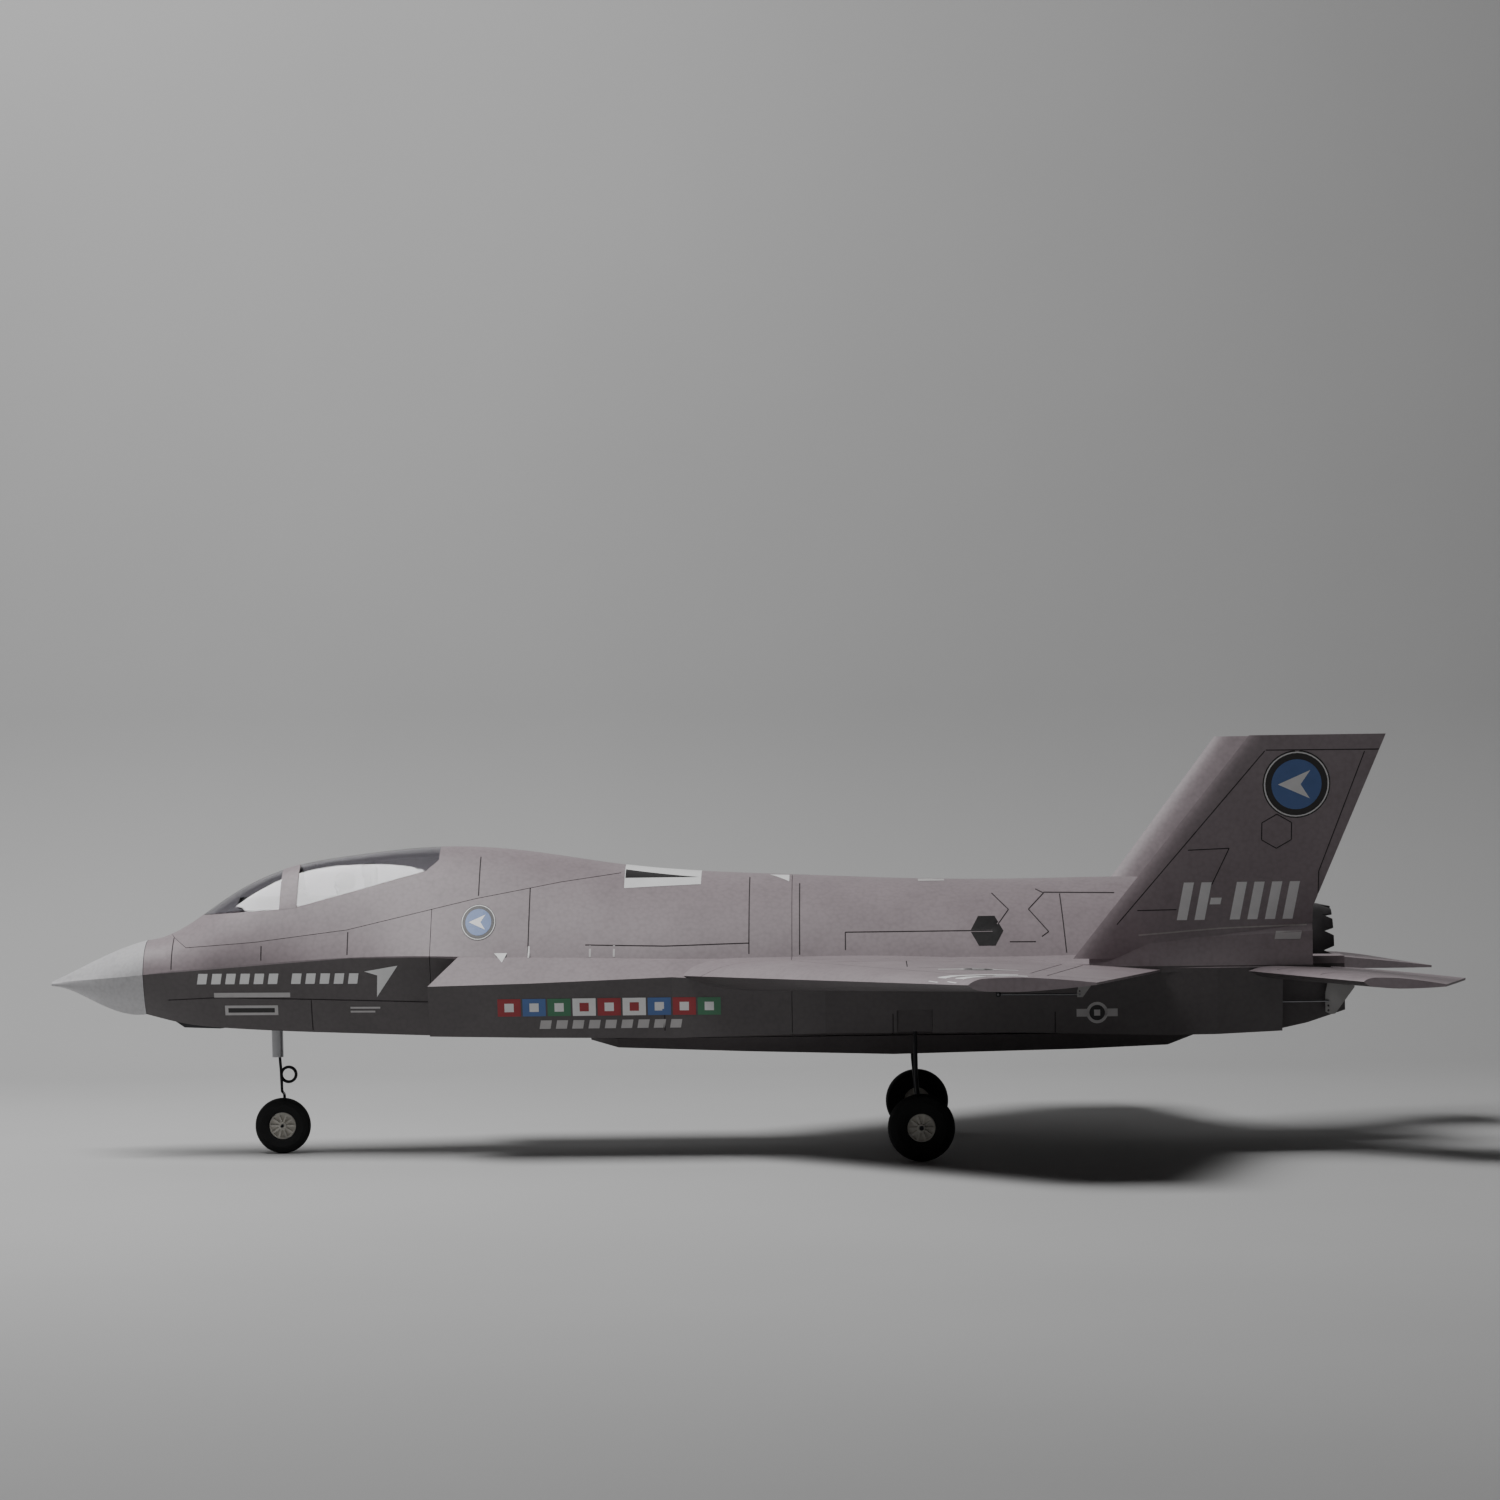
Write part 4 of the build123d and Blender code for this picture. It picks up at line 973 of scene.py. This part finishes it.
@dataclass
class CanopyHatch:
    """Lift-off canopy hatch: painted foam frame, clear glazing with its bow, and the cockpit under it."""

    palette: Palette
    bow_x: tuple[float, float] = (-355.0, -342.0)
    bow_proud: float = 0.25
    hatch_lines: tuple = (((-202.0, 197.0), (-202.0, 226.0)),)
    console_x: tuple[float, float] = (-338.0, -296.0)
    console_y: tuple[float, float] = (11.5, 16.5)
    dial_x: float = -336.8
    dial_pitch: float = 5.6
    dial: tuple = ((0, 0), (0, 2.6), (-0.5, 2.6), (-0.8, 2.0), (-0.8, 0))
    head: Point = (-308.0, 0.0, 208.0)
    helmet_radius: float = 8.2
    visor_radius: float = 6.3

    def build_frame(self) -> bpy.types.Object:
        """Build the painted foam frame of the hatch and return it."""
        lines = side_lines(*self.hatch_lines, reach=(6.0, 60.0))
        return moulding("canopy_hatch", "hatch", self.palette, lines)

    def build_bow(self) -> bpy.types.Object:
        """Build the painted bow that arches over the glazing.

        Returns:
            The bow.
        """
        bow = copy_node("canopy_glazing", "canopy_bow_frame")
        activate(bow)
        bpy.ops.object.mode_set(mode="EDIT")
        for edge_x, clear_inner in zip(self.bow_x, (True, False)):
            bpy.ops.mesh.select_all(action="SELECT")
            bpy.ops.mesh.bisect(
                plane_co=(edge_x * MM, 0, 0), plane_no=(1, 0, 0), use_fill=True,
                clear_inner=clear_inner, clear_outer=not clear_inner,
            )
        bpy.ops.mesh.select_all(action="SELECT")
        bpy.ops.transform.shrink_fatten(value=self.bow_proud * MM)
        bpy.ops.object.mode_set(mode="OBJECT")
        dress(bow, self.palette.body)
        return finish_piece(bow, "hatch")

    def build_tub(self) -> bpy.types.Object:
        """Build the cockpit tub with its instrument dials and side consoles.

        Returns:
            The tub.
        """
        floor_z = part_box("cockpit_tub")[0].z / MM
        tub = copy_node("cockpit_tub", "cockpit_tub_shell")
        dress(tub, self.palette.black)
        pieces = [tub]
        for side in Side:
            near, far = sorted(side.value * edge for edge in self.console_y)
            low = (self.console_x[0], near, floor_z + 1.2)
            high = (self.console_x[1], far, floor_z + 3.8)
            pieces.append(block(f"console_{side.name}", low, high, 0.5, finish=self.palette.seat))
        for row in (-1, 0, 1):
            place = (self.dial_x, row * self.dial_pitch, floor_z + 8.5)
            pieces.append(lathe(f"dial_{row}", self.dial, place, (-1, 0, 0), 20, self.palette.seat))
        return finish_piece(join("cockpit_fit_out", pieces), "hatch", ("cockpit_tub",))

    def build_seat(self) -> bpy.types.Object:
        """Build the ejection seat: pan, back, side rails and a slab headrest.

        Returns:
            The seat.
        """
        low, high = (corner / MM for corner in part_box("ejection_seat"))
        grey, black = self.palette.seat, self.palette.black
        wide, rear, top = high.y - 0.3, high.x, high.z
        # Name, front and rear x, inner and outer y, bottom and top z, finish.
        plan = (
            ("seat_pan", low.x + 0.4, rear - 10, 2 - wide, wide - 2, low.z, low.z + 4.5, black),
            ("seat_back", rear - 10.5, rear - 4, 1.5 - wide, wide - 1.5, low.z, top - 11, black),
            ("headrest", rear - 11.5, rear - 3.2, 2.5 - wide, wide - 2.5, top - 12, top - 0.2, grey),
            ("headrest_pad", rear - 12.6, rear - 11.2, 4 - wide, wide - 4, top - 10, top - 2, black),
            ("rail_left", rear - 6, rear - 1.5, -wide, 2.2 - wide, low.z, top - 3, grey),
            ("rail_right", rear - 6, rear - 1.5, wide - 2.2, wide, low.z, top - 3, grey),
        )
        pieces = [
            block(name, (x0, y0, z0), (x1, y1, z1), 0.7, finish=finish)
            for name, x0, x1, y0, y1, z0, z1, finish in plan
        ]
        seat = join("ejection_seat_fit_out", pieces)
        return finish_piece(seat, "hatch", ("ejection_seat",))

    def ball(self, steps: tuple[int, int], radius: float, offset: Point, scale: Point) -> bpy.types.Object:
        """Make one squashed ball of the pilot's head.

        Args:
            steps: segments round it and rings.
            radius: radius before it is squashed, in millimetres.
            offset: its middle from the head's, in millimetres.
            scale: how far it is squashed along each axis.

        Returns:
            The ball.
        """
        deselect_all()
        bpy.ops.mesh.primitive_uv_sphere_add(
            segments=steps[0], ring_count=steps[1], radius=radius * MM,
            location=(Vector(self.head) + Vector(offset)) * MM,
        )
        piece = bpy.context.object
        piece.scale = scale
        settle(piece)
        return piece

    def build_pilot(self) -> bpy.types.Object:
        """Build the pilot figure: shoulders, helmet, lowered visor, mask and hose.

        Returns:
            The figure.
        """
        low, high = (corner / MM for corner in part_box("pilot_bust"))
        head = Vector(self.head)
        helmet = self.ball((32, 20), self.helmet_radius, (0, 0, 0), (1.0, 0.86, 0.98))
        dress(helmet, self.palette.helmet)
        visor = self.ball((24, 16), self.visor_radius, (-2.3, 0, 0.9), (0.98, 0.98, 0.62))
        dress(visor, self.palette.visor)
        torso = block(
            "torso", (high.x - 13.5, low.y + 0.3, low.z + 0.1), (high.x - 0.8, high.y - 0.3, 201.4), 2.6, 4,
            finish=self.palette.suit,
        )
        # Name, (along, radius) profile, place, direction, steps, finish.
        turned = (
            ("mask", ((0, 0), (0, 2.9), (2.2, 2.5), (3.4, 1.5), (3.4, 0)),
             head + Vector((-5.2, 0, -3.9)), (-1, 0, -0.35), 20, self.palette.black),
            ("mask_hose", ((0, 0), (0, 1), (1.2, 1.3), (2.4, 1), (3.6, 1.3), (4.8, 1), (6, 1.2), (6, 0)),
             head + Vector((-6.6, 0, -5.2)), (0.2, 0, -1), 14, self.palette.black),
            ("collar", ((0, 0), (0, 5.2), (2, 5), (3, 3.8), (3, 0)),
             (head.x + 0.5, 0, 199.6), (0, 0, 1), 24, self.palette.suit),
        )
        pieces = [torso, helmet, visor] + [lathe(*facts) for facts in turned]
        return finish_piece(join("pilot_figure", pieces), "hatch", ("pilot_bust",), 50.0)

    def build(self) -> dict[str, bpy.types.Object]:
        """Build the hatch.

        Returns:
            Its skin by CAD node.
        """
        hatch = self.build_frame()
        self.build_bow()
        self.build_tub()
        self.build_seat()
        self.build_pilot()
        return {"canopy_hatch": hatch}


@dataclass
class Wings:
    """Wing panels, with lines engraved in their upper skins, and ailerons."""

    palette: Palette
    top: tuple[float, float] = (138.5, 160.0)
    top_lines: tuple = (
        ((36.0, 135.0), (182.0, 362.0)),
        ((120.0, 160.0), (120.0, 232.0)),
        ((60.0, 160.0), (250.0, 160.0)),
        ((128.0, 245.0), (232.0, 245.0)),
        ((150.0, 300.0), (222.0, 300.0)),
        ((235.0, 131.0), (206.0, 300.0)),
    )

    def build(self) -> dict[str, bpy.types.Object]:
        """Build both wings and ailerons.

        Returns:
            The skins by CAD node.
        """
        skins = {}
        for side in Side:
            word = side.name.lower()
            lines = plan_lines(*self.top_lines, reach=self.top, side=side)
            for node, body, cuts in (
                (f"{word}_wing", "airframe", lines),
                (f"{word}_aileron", f"{word}_aileron", []),
            ):
                skins[node] = moulding(node, body, self.palette, cuts)
        return skins


@dataclass
class Fins:
    """Outward-leaning twin fins with an engraved leading edge, rudder line and access hexagon."""

    palette: Palette
    outer_lines: tuple = (
        ((383.0, 299.0), (276.0, 172.0)),
        ((383.7, 299.6), (470.0, 299.3)),
        ((455.8, 298.0), (424.2, 210.0), (424.2, 186.0)),
        ((327.8, 226.8), (358.0, 227.9), (345.5, 200.9)),
        ((291.0, 182.5), (319.8, 182.8)),
    )
    root_line: tuple = ((292.0, 164.0), (352.0, 168.5), (416.0, 170.5))
    reach: tuple[float, float] = (100.0, 190.0)
    hexagon_centre: tuple[float, float] = (392.6, 240.0)
    hexagon_radius: float = 12.6

    def build(self) -> dict[str, bpy.types.Object]:
        """Build both fins.

        Returns:
            The skins by CAD node.
        """
        hexagon = disc(self.hexagon_centre, self.hexagon_radius, 6, 30)
        dark = side_lines(*self.outer_lines, hexagon + hexagon[:1], reach=self.reach, width=0.8, depth=0.3)
        # The pale shallow line along the fin root is a painted highlight on the crease.
        bare = side_lines(self.root_line, reach=self.reach, pale=True, width=1.1, depth=0.15)
        skins = {}
        for side in Side:
            word = side.name.lower()
            lines = dark + bare
            skins[f"{word}_fin"] = moulding(f"{word}_fin", "airframe", self.palette, lines)
        return skins


@dataclass
class Tailplanes:
    """All-moving tailplanes with two engraved chordwise lines."""

    palette: Palette
    lines: tuple = (((392.0, 150.0), (470.0, 150.0)), ((420.0, 190.0), (500.0, 190.0)))
    reach: tuple[float, float] = (120.0, 150.0)

    def build(self) -> dict[str, bpy.types.Object]:
        """Build both tailplanes.

        Returns:
            The skins by CAD node.
        """
        skins = {}
        for side in Side:
            word = side.name.lower()
            cuts = plan_lines(*self.lines, reach=self.reach, side=side)
            skins[f"{word}_stabilator"] = moulding(
                f"{word}_stabilator", f"{word}_stabilator", self.palette, cuts
            )
        return skins


@dataclass
class Propulsion:
    """Ducted fan, motor and thrust tube, and the petalled nozzle."""

    palette: Palette
    petal_edge: float = 0.5

    def build(self) -> None:
        """Build the nozzle and give the fan unit its finishes."""
        nozzle = copy_node("exhaust_nozzle", "exhaust_nozzle_petals")
        dress(nozzle, self.palette.petal)
        bevel_edges(nozzle, self.petal_edge, 2, 50.0)
        finish_piece(nozzle, "airframe", ("exhaust_nozzle",))
        for node, finish in (
            ("fan_shroud", self.palette.black),
            ("fan_rotor", self.palette.black),
            ("fan_motor", self.palette.sleeve),
            ("thrust_tube", self.palette.pale),
        ):
            refinish(node, finish)


def refinish(node: str, finish: bpy.types.Material) -> None:
    """Give a CAD node whose shape is right its proper finish.

    Args:
        node: the CAD node.
        finish: the finish.
    """
    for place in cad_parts[node].material_slots:
        place.link = "OBJECT"
        place.material = finish
    LOG.info("%s refinished", node)


@dataclass
class Equipment:
    """Parts inside the body and the control linkages, whose CAD shapes stay."""

    palette: Palette

    def build(self) -> None:
        """Give each kept node its finish."""
        sides = ("left", "right")
        plan = {
            self.palette.servo: ["aileron_servos", "stabilator_servos", "steering_servo", "receiver"],
            self.palette.carbon: ["wing_spars"],
            self.palette.blue: ["battery_pack"],
            self.palette.red: ["speed_controller"],
            self.palette.sleeve: ["bay_magnets", "hatch_magnets"],
            self.palette.wire: ["belly_hatch_screws", "steering_pushrod"],
            self.palette.black: ["nose_gear_mount", "steering_tiller", "steering_servo_arm"],
            # The main gear mounts take the dark underside tone, partly painted shade under the wing root.
            self.palette.underside: ["main_gear_mounts"],
            self.palette.window: ["sensor_window"],
            self.palette.clear: ["canopy_glazing"],
        }
        for finish, kinds in (
            (self.palette.horn, ("aileron_horn", "stabilator_horn")),
            (self.palette.black_arm, ("aileron_servo_arm", "stabilator_servo_arm")),
            (self.palette.rod, ("aileron_pushrod", "stabilator_pushrod")),
        ):
            plan[finish] = [f"{side}_{kind}" for side in sides for kind in kinds]
        for finish, nodes in plan.items():
            for node in nodes:
                refinish(node, finish)


def frame_radius(node: str) -> float:
    """Half of a CAD node's length in X, in millimetres."""
    low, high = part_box(node)
    return (high.x - low.x) / 2 / MM


@dataclass
class Undercarriage:
    """Wire legs, the nose leg's sleeve, and three wheels with moulded hubs and foam-rubber tyres."""

    palette: Palette
    tread_depth: float = 0.5

    def tyre(self, node: str, body: str) -> bpy.types.Object:
        """Turn one tyre on its axle.

        Args:
            node: the CAD tyre it replaces.
            body: the body it rides on.

        Returns:
            The tyre.
        """
        low, high = (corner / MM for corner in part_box(node))
        middle = (low + high) / 2
        radius = (high.x - low.x) / 2
        half = (high.y - low.y) / 2
        hub = frame_radius(node.replace("tyre", "hub"))
        step = self.tread_depth
        side = [
            (half * 0.70, hub + 0.15),
            (half * 0.80, hub + 0.5),
            (half * 0.86, hub + 1.5),
            (half * 0.95, hub + 0.36 * (radius - hub)),
            (half * 0.985, hub + 0.55 * (radius - hub)),
            (half * 0.95, hub + 0.60 * (radius - hub)),
            (half * 0.93, hub + 0.72 * (radius - hub)),
            (half * 0.82, radius - 0.13 * (radius - hub)),
            (half * 0.62, radius - 0.045 * (radius - hub)),
            (half * 0.36, radius - 0.012 * (radius - hub)),
            (half * 0.34, radius - step),
            (half * 0.24, radius - step),
            (half * 0.22, radius),
        ]
        profile = [(-along, out) for along, out in side] + [(along, out) for along, out in reversed(side)]
        tyre = lathe(f"{node}_rubber", profile, middle, (0, 1, 0), 72, self.palette.tyre)
        return finish_piece(tyre, body, (node,), 28.0)

    def hub(self, node: str, body: str) -> bpy.types.Object:
        """Round the edges of one moulded hub.

        Args:
            node: the CAD hub.
            body: the body it rides on.

        Returns:
            The hub.
        """
        hub = copy_node(node, f"{node}_moulding")
        dress(hub, self.palette.hub)
        bevel_edges(hub, 0.25, 2, 40.0)
        return finish_piece(hub, body, (node,))

    def build(self) -> None:
        """Build the wheels and refinish the legs."""
        for wheel, body in (
            ("nose", "nose_wheel"),
            ("left_main", "left_main_wheel"),
            ("right_main", "right_main_wheel"),
        ):
            self.tyre(f"{wheel}_tyre", body)
            self.hub(f"{wheel}_hub", body)
        refinish("nose_gear_leg", self.palette.wire)
        refinish("main_gear_legs", self.palette.wire)
        refinish("nose_strut_sleeve", self.palette.sleeve)


@dataclass
class Markings:
    """Plain vinyl film marks: bars, blocks, roundels and tip stripes, on both sides."""

    palette: Palette
    skins: dict[str, bpy.types.Object]
    block_colours: tuple[str, ...] = ("red", "blue", "green", "white", "red", "white", "blue", "red", "green")

    def roundel(self, centre: tuple[float, float], radius: float) -> list[Film]:
        """A dark ring, a blue field and a white swept arrowhead.

        Args:
            centre: its middle on the drawing.
            radius: its radius.

        Returns:
            The films.
        """
        x, z = centre
        arrow = ((x - 0.55 * radius, z), (x + 0.4 * radius, z + 0.42 * radius), (x + 0.12 * radius, z),
                 (x + 0.4 * radius, z - 0.42 * radius))
        return [
            Film(disc(centre, radius, 40), "ink", cuts=2),
            Film(disc(centre, radius * 0.96, 40), "white", layer=2, cuts=2),
            Film(disc(centre, radius * 0.92, 40), "ink", layer=3, cuts=2),
            Film(disc(centre, radius * 0.74, 40), "blue", layer=4, cuts=2),
            Film(arrow, "white", layer=5),
        ]

    def ring_and_bars(self, centre: tuple[float, float], size: float, view: View) -> list[Film]:
        """A plain ring between two bars.

        Args:
            centre: its middle on the drawing.
            size: the ring's radius.
            view: the drawing's direction.

        Returns:
            The films.
        """
        x, z = centre
        return [
            Film(bar(x - 1.9 * size, x + 1.9 * size, z - 0.36 * size, z + 0.36 * size), "pale", view),
            Film(disc(centre, size, 24), "pale", view, cuts=1),
            Film(disc(centre, size * 0.72, 24), "ink", view, layer=2, cuts=1),
            Film(disc(centre, size * 0.4, 4, 45), "pale", view, layer=3, cuts=1),
        ]

    def front(self) -> list[Film]:
        """Films on the front fuselage: two rows of dashes, a swept flash and small placards.

        Returns:
            The films.
        """
        starts = [-418 + 11 * step for step in range(6)] + [-345 + 11 * step for step in range(5)]
        dashes = [Film(bar(x, x + 7.2, 132.2, 140.2, 1.4), "white") for x in starts]
        return dashes + [
            Film(((-288, 141.5), (-262, 146.0), (-279, 122.0), (-278, 138.5)), "white"),
            Film(bar(-405, -346, 122.0, 125.6), "pale"),
            Film(bar(-397, -356, 108.3, 115.8), "pale"),
            Film(bar(-394.5, -358.5, 110.3, 113.8), "ink", layer=2),
            Film(bar(-300, -277, 113.0, 114.4), "pale"),
            Film(bar(-300, -281, 110.0, 111.4), "pale"),
        ]

    def centre(self) -> list[Film]:
        """Films on the centre fuselage: a roundel, ticks, colour blocks, dashes and marks on top.

        Returns:
            The films.
        """
        films = self.roundel((-201.2, 177.4), 13.2)
        films.append(Film(((-188.4, 154.6), (-178.6, 154.6), (-182.0, 147.9)), "white", cuts=1))
        films += [Film(bar(x, x + 1.4, 151.0, 159.5), "pale", cuts=1) for x in (-163.0, -117.0, -99.0)]
        for index, colour in enumerate(self.block_colours):
            low = -184.7 + index * 18.7
            inner = "white" if colour != "white" else "red"
            films.append(Film(bar(low, low + 17.3, 108.2, 121.4), colour))
            films.append(Film(bar(low + 5.2, low + 12.1, 111.6, 118.0), inner, layer=2))
        for low in (-153.8 + 12.2 * step for step in range(9)):
            films.append(Film(bar(low, low + 8.2, 98.6, 105.0, 1.2), "pale"))
        return films + [
            Film(((-92, 42), (-92, -2), (-34, -2), (-34, 34)), "white", View.PLAN, cuts=7),
            Film(((-91.5, 31), (-91.5, 18), (-36, 23)), "ink", View.PLAN, layer=2, cuts=7),
            Film(((18, 10), (33, 8), (33, 26)), "white", View.PLAN, cuts=3),
        ]

    def rear(self) -> list[Film]:
        """Films on the rear fuselage: a ring and bars, a dark hexagon and a short dash.

        Returns:
            The films.
        """
        return self.ring_and_bars((261.0, 107.0), 8.0, View.SIDE) + [
            Film(disc((181.4, 166.7), 12.4, 6), "ink", cuts=7),
            Film(bar(131.0, 151.0, 203.0, 205.0), "pale"),
        ]

    def fin(self) -> list[Film]:
        """Films on a fin's outer face: a roundel over slanted tally bars and a small placard.

        Returns:
            The films.
        """
        starts = (320.0, 333.0, 359.0, 372.0, 385.0, 398.0)
        tally = [Film(bar(low, low + 7.5, 175.0, 203.0, 5.0), "white") for low in starts]
        dash = Film(bar(344.0, 352.0, 186.5, 191.5, 1.0), "white")
        placard = Film(bar(392.0, 411.0, 160.0, 166.0, 1.2), "pale")
        return self.roundel((406.5, 274.5), 24.8) + tally + [dash, placard]

    def wing(self) -> list[Film]:
        """Films on a wing's upper face: two tip stripes, and a ring and bars.

        Returns:
            The films.
        """
        stripes = [
            Film(((low, y), (high, y), (high, y + 9), (low + 6, y + 9)), "white", View.PLAN, cuts=7)
            for low, high, y in ((133.5, 196.0, 333.0), (146.0, 202.0, 349.0))
        ]
        return stripes + self.ring_and_bars((170.0, 270.0), 15.0, View.PLAN)

    def build(self) -> None:
        """Lay all the films and join those of each skin and side."""
        body = {f"{name}_fuselage": getattr(self, name)() for name in ("front", "centre", "rear")}
        for side in Side:
            word = side.name.lower()
            jobs = {**body, f"{word}_fin": self.fin(), f"{word}_wing": self.wing()}
            for node, films in jobs.items():
                base = node.replace(f"{word}_", "")
                pieces = [
                    film.lay(f"film_{base}_{word}_{index}", self.skins[node], side, self.palette)
                    for index, film in enumerate(films)
                ]
                pieces = [piece for piece in pieces if len(piece.data.polygons)]
                finish_piece(join(f"{word}_{base}_marks", pieces), "airframe")


# ---------------------------------------------------------------- studio
@dataclass
class Studio:
    """Pale floor that sweeps up into a plain backdrop, soft lights overhead, and the camera."""

    camera_place: Point = (0.0877, -3.7408, 0.3047)
    camera_aim: Point = (-0.0224, 0.99975, 0.0)
    roll: float = 0.0133
    lens: float = 117.2
    sensor: float = 36.0
    clip_end: float = 50.0
    front_y: float = -5.1
    wall_y: float = 1.25
    wall_height: float = 4.0
    wide: float = 16.0
    sweep: float = 0.35
    sweep_steps: int = 16
    floor_tone: str = "BDBDBD"
    key_place: Point = (-0.95, -0.3, 2.15)
    key_aim: Point = (-0.1, 0.0, 0.0)
    key_size: tuple[float, float] = (1.7, 0.8)
    key_watts: float = 60.0
    fill_tone: str = "9A9A9A"
    fill_strength: float = 0.04

    def backdrop_finish(self) -> bpy.types.Material:
        """Painted board: matt, with faint roller clouds; clear when looked at from behind.

        Returns:
            The finished material.
        """
        material, tree, shader = start_material("matt_painted_board")
        place = add_node(tree, "ShaderNodeTexCoord", {}, {}).outputs["Object"]
        cloud = add_node(tree, "ShaderNodeTexNoise", {"Scale": 1.6, "Detail": 5.0}, {"Vector": place})
        base = linear(self.floor_tone)
        thin = tuple(channel * 0.93 for channel in base[:3]) + (1.0,)
        tone = add_node(
            tree, "ShaderNodeValToRGB", {"stops": ((0.3, thin), (0.7, base))}, {"Fac": cloud.outputs["Fac"]}
        )
        shader.inputs["Roughness"].default_value = 0.75
        feed(tree, shader, {"Base Color": tone.outputs["Color"]})
        clear = add_node(tree, "ShaderNodeBsdfTransparent", {}, {})
        facing = add_node(tree, "ShaderNodeNewGeometry", {}, {})
        shown = add_node(
            tree, "ShaderNodeMixShader", {},
            {"Fac": facing.outputs["Backfacing"], 1: shader.outputs["BSDF"], 2: clear.outputs["BSDF"]},
        )
        output = next(node for node in tree.nodes if node.type == "OUTPUT_MATERIAL")
        feed(tree, output, {"Surface": shown.outputs["Shader"]})
        return material

    def build_backdrop(self) -> None:
        """Build the floor, its sweep and the wall."""
        back_y = self.wall_y - self.sweep
        deselect_all()
        bpy.ops.mesh.primitive_plane_add(size=1.0, location=(0, (self.front_y + back_y) / 2, 0))
        board = bpy.context.object
        board.name = "studio_board"
        board.scale = (self.wide, back_y - self.front_y, 1.0)
        settle(board)
        bpy.ops.object.mode_set(mode="EDIT")
        bpy.context.tool_settings.mesh_select_mode = (False, True, False)
        bpy.ops.mesh.select_all(action="DESELECT")
        mesh = bmesh.from_edit_mesh(board.data)
        for edge in mesh.edges:
            if all(corner.co.y > 0 for corner in edge.verts):
                edge.select_set(True)
        bmesh.update_edit_mesh(board.data)
        angles = [math.pi / 2 * step / self.sweep_steps for step in range(self.sweep_steps + 1)]
        for first, second in zip(angles, angles[1:]):
            rise = self.sweep * (math.cos(first) - math.cos(second))
            run = self.sweep * (math.sin(second) - math.sin(first))
            bpy.ops.mesh.extrude_region_move(TRANSFORM_OT_translate={"value": (0, run, rise)})
        bpy.ops.mesh.extrude_region_move(TRANSFORM_OT_translate={"value": (0, 0, self.wall_height)})
        bpy.ops.object.mode_set(mode="OBJECT")
        dress(board, self.backdrop_finish())
        smooth(board, 40.0)

    def build_key(self) -> None:
        """Hang the softbox over the nose and point it at the middle of the body."""
        lamp = bpy.data.lights.new("softbox_key", "AREA")
        lamp.shape = "RECTANGLE"
        lamp.size, lamp.size_y = self.key_size
        lamp.energy = self.key_watts
        holder = bpy.data.objects.new("softbox_key", lamp)
        holder.location = self.key_place
        aim = Vector(self.key_aim) - Vector(self.key_place)
        holder.rotation_euler = aim.to_track_quat("-Z", "Y").to_euler()
        bpy.context.scene.collection.objects.link(holder)

    def build_fill(self) -> None:
        """Light the room faintly and evenly."""
        world = bpy.data.worlds.new("studio")
        world.use_nodes = True
        background = world.node_tree.nodes["Background"]
        background.inputs["Color"].default_value = linear(self.fill_tone)
        background.inputs["Strength"].default_value = self.fill_strength
        bpy.context.scene.world = world

    def build_camera(self) -> None:
        """Build the camera, level and turned slightly about its own axis."""
        data = bpy.data.cameras.new("camera")
        data.lens = self.lens
        data.sensor_width = self.sensor
        data.clip_end = self.clip_end
        camera = bpy.data.objects.new("camera", data)
        forward = Vector(self.camera_aim).normalized()
        right = forward.cross(Vector((0, 0, 1))).normalized()
        up = right.cross(forward)
        turned_right = right * math.cos(self.roll) - up * math.sin(self.roll)
        turned_up = up * math.cos(self.roll) + right * math.sin(self.roll)
        turn = Matrix((turned_right, turned_up, -forward)).transposed()
        camera.matrix_world = Matrix.Translation(Vector(self.camera_place)) @ turn.to_4x4()
        bpy.context.scene.collection.objects.link(camera)
        bpy.context.scene.camera = camera

    def build(self) -> None:
        """Build the backdrop, the lights and the camera."""
        self.build_backdrop()
        self.build_key()
        self.build_fill()
        self.build_camera()


def main() -> None:
    """Build the aeroplane piece by piece, then the studio round it."""
    logging.basicConfig(level=logging.INFO, format="%(name)s: %(message)s")
    palette = Palette()
    skins = Fuselage(palette).build()
    skins.update(CanopyHatch(palette).build())
    skins.update(Wings(palette).build())
    skins.update(Fins(palette).build())
    skins.update(Tailplanes(palette).build())
    Propulsion(palette).build()
    Equipment(palette).build()
    Undercarriage(palette).build()
    Markings(palette, skins).build()
    Studio().build()


if __name__ == "__main__":
    main()
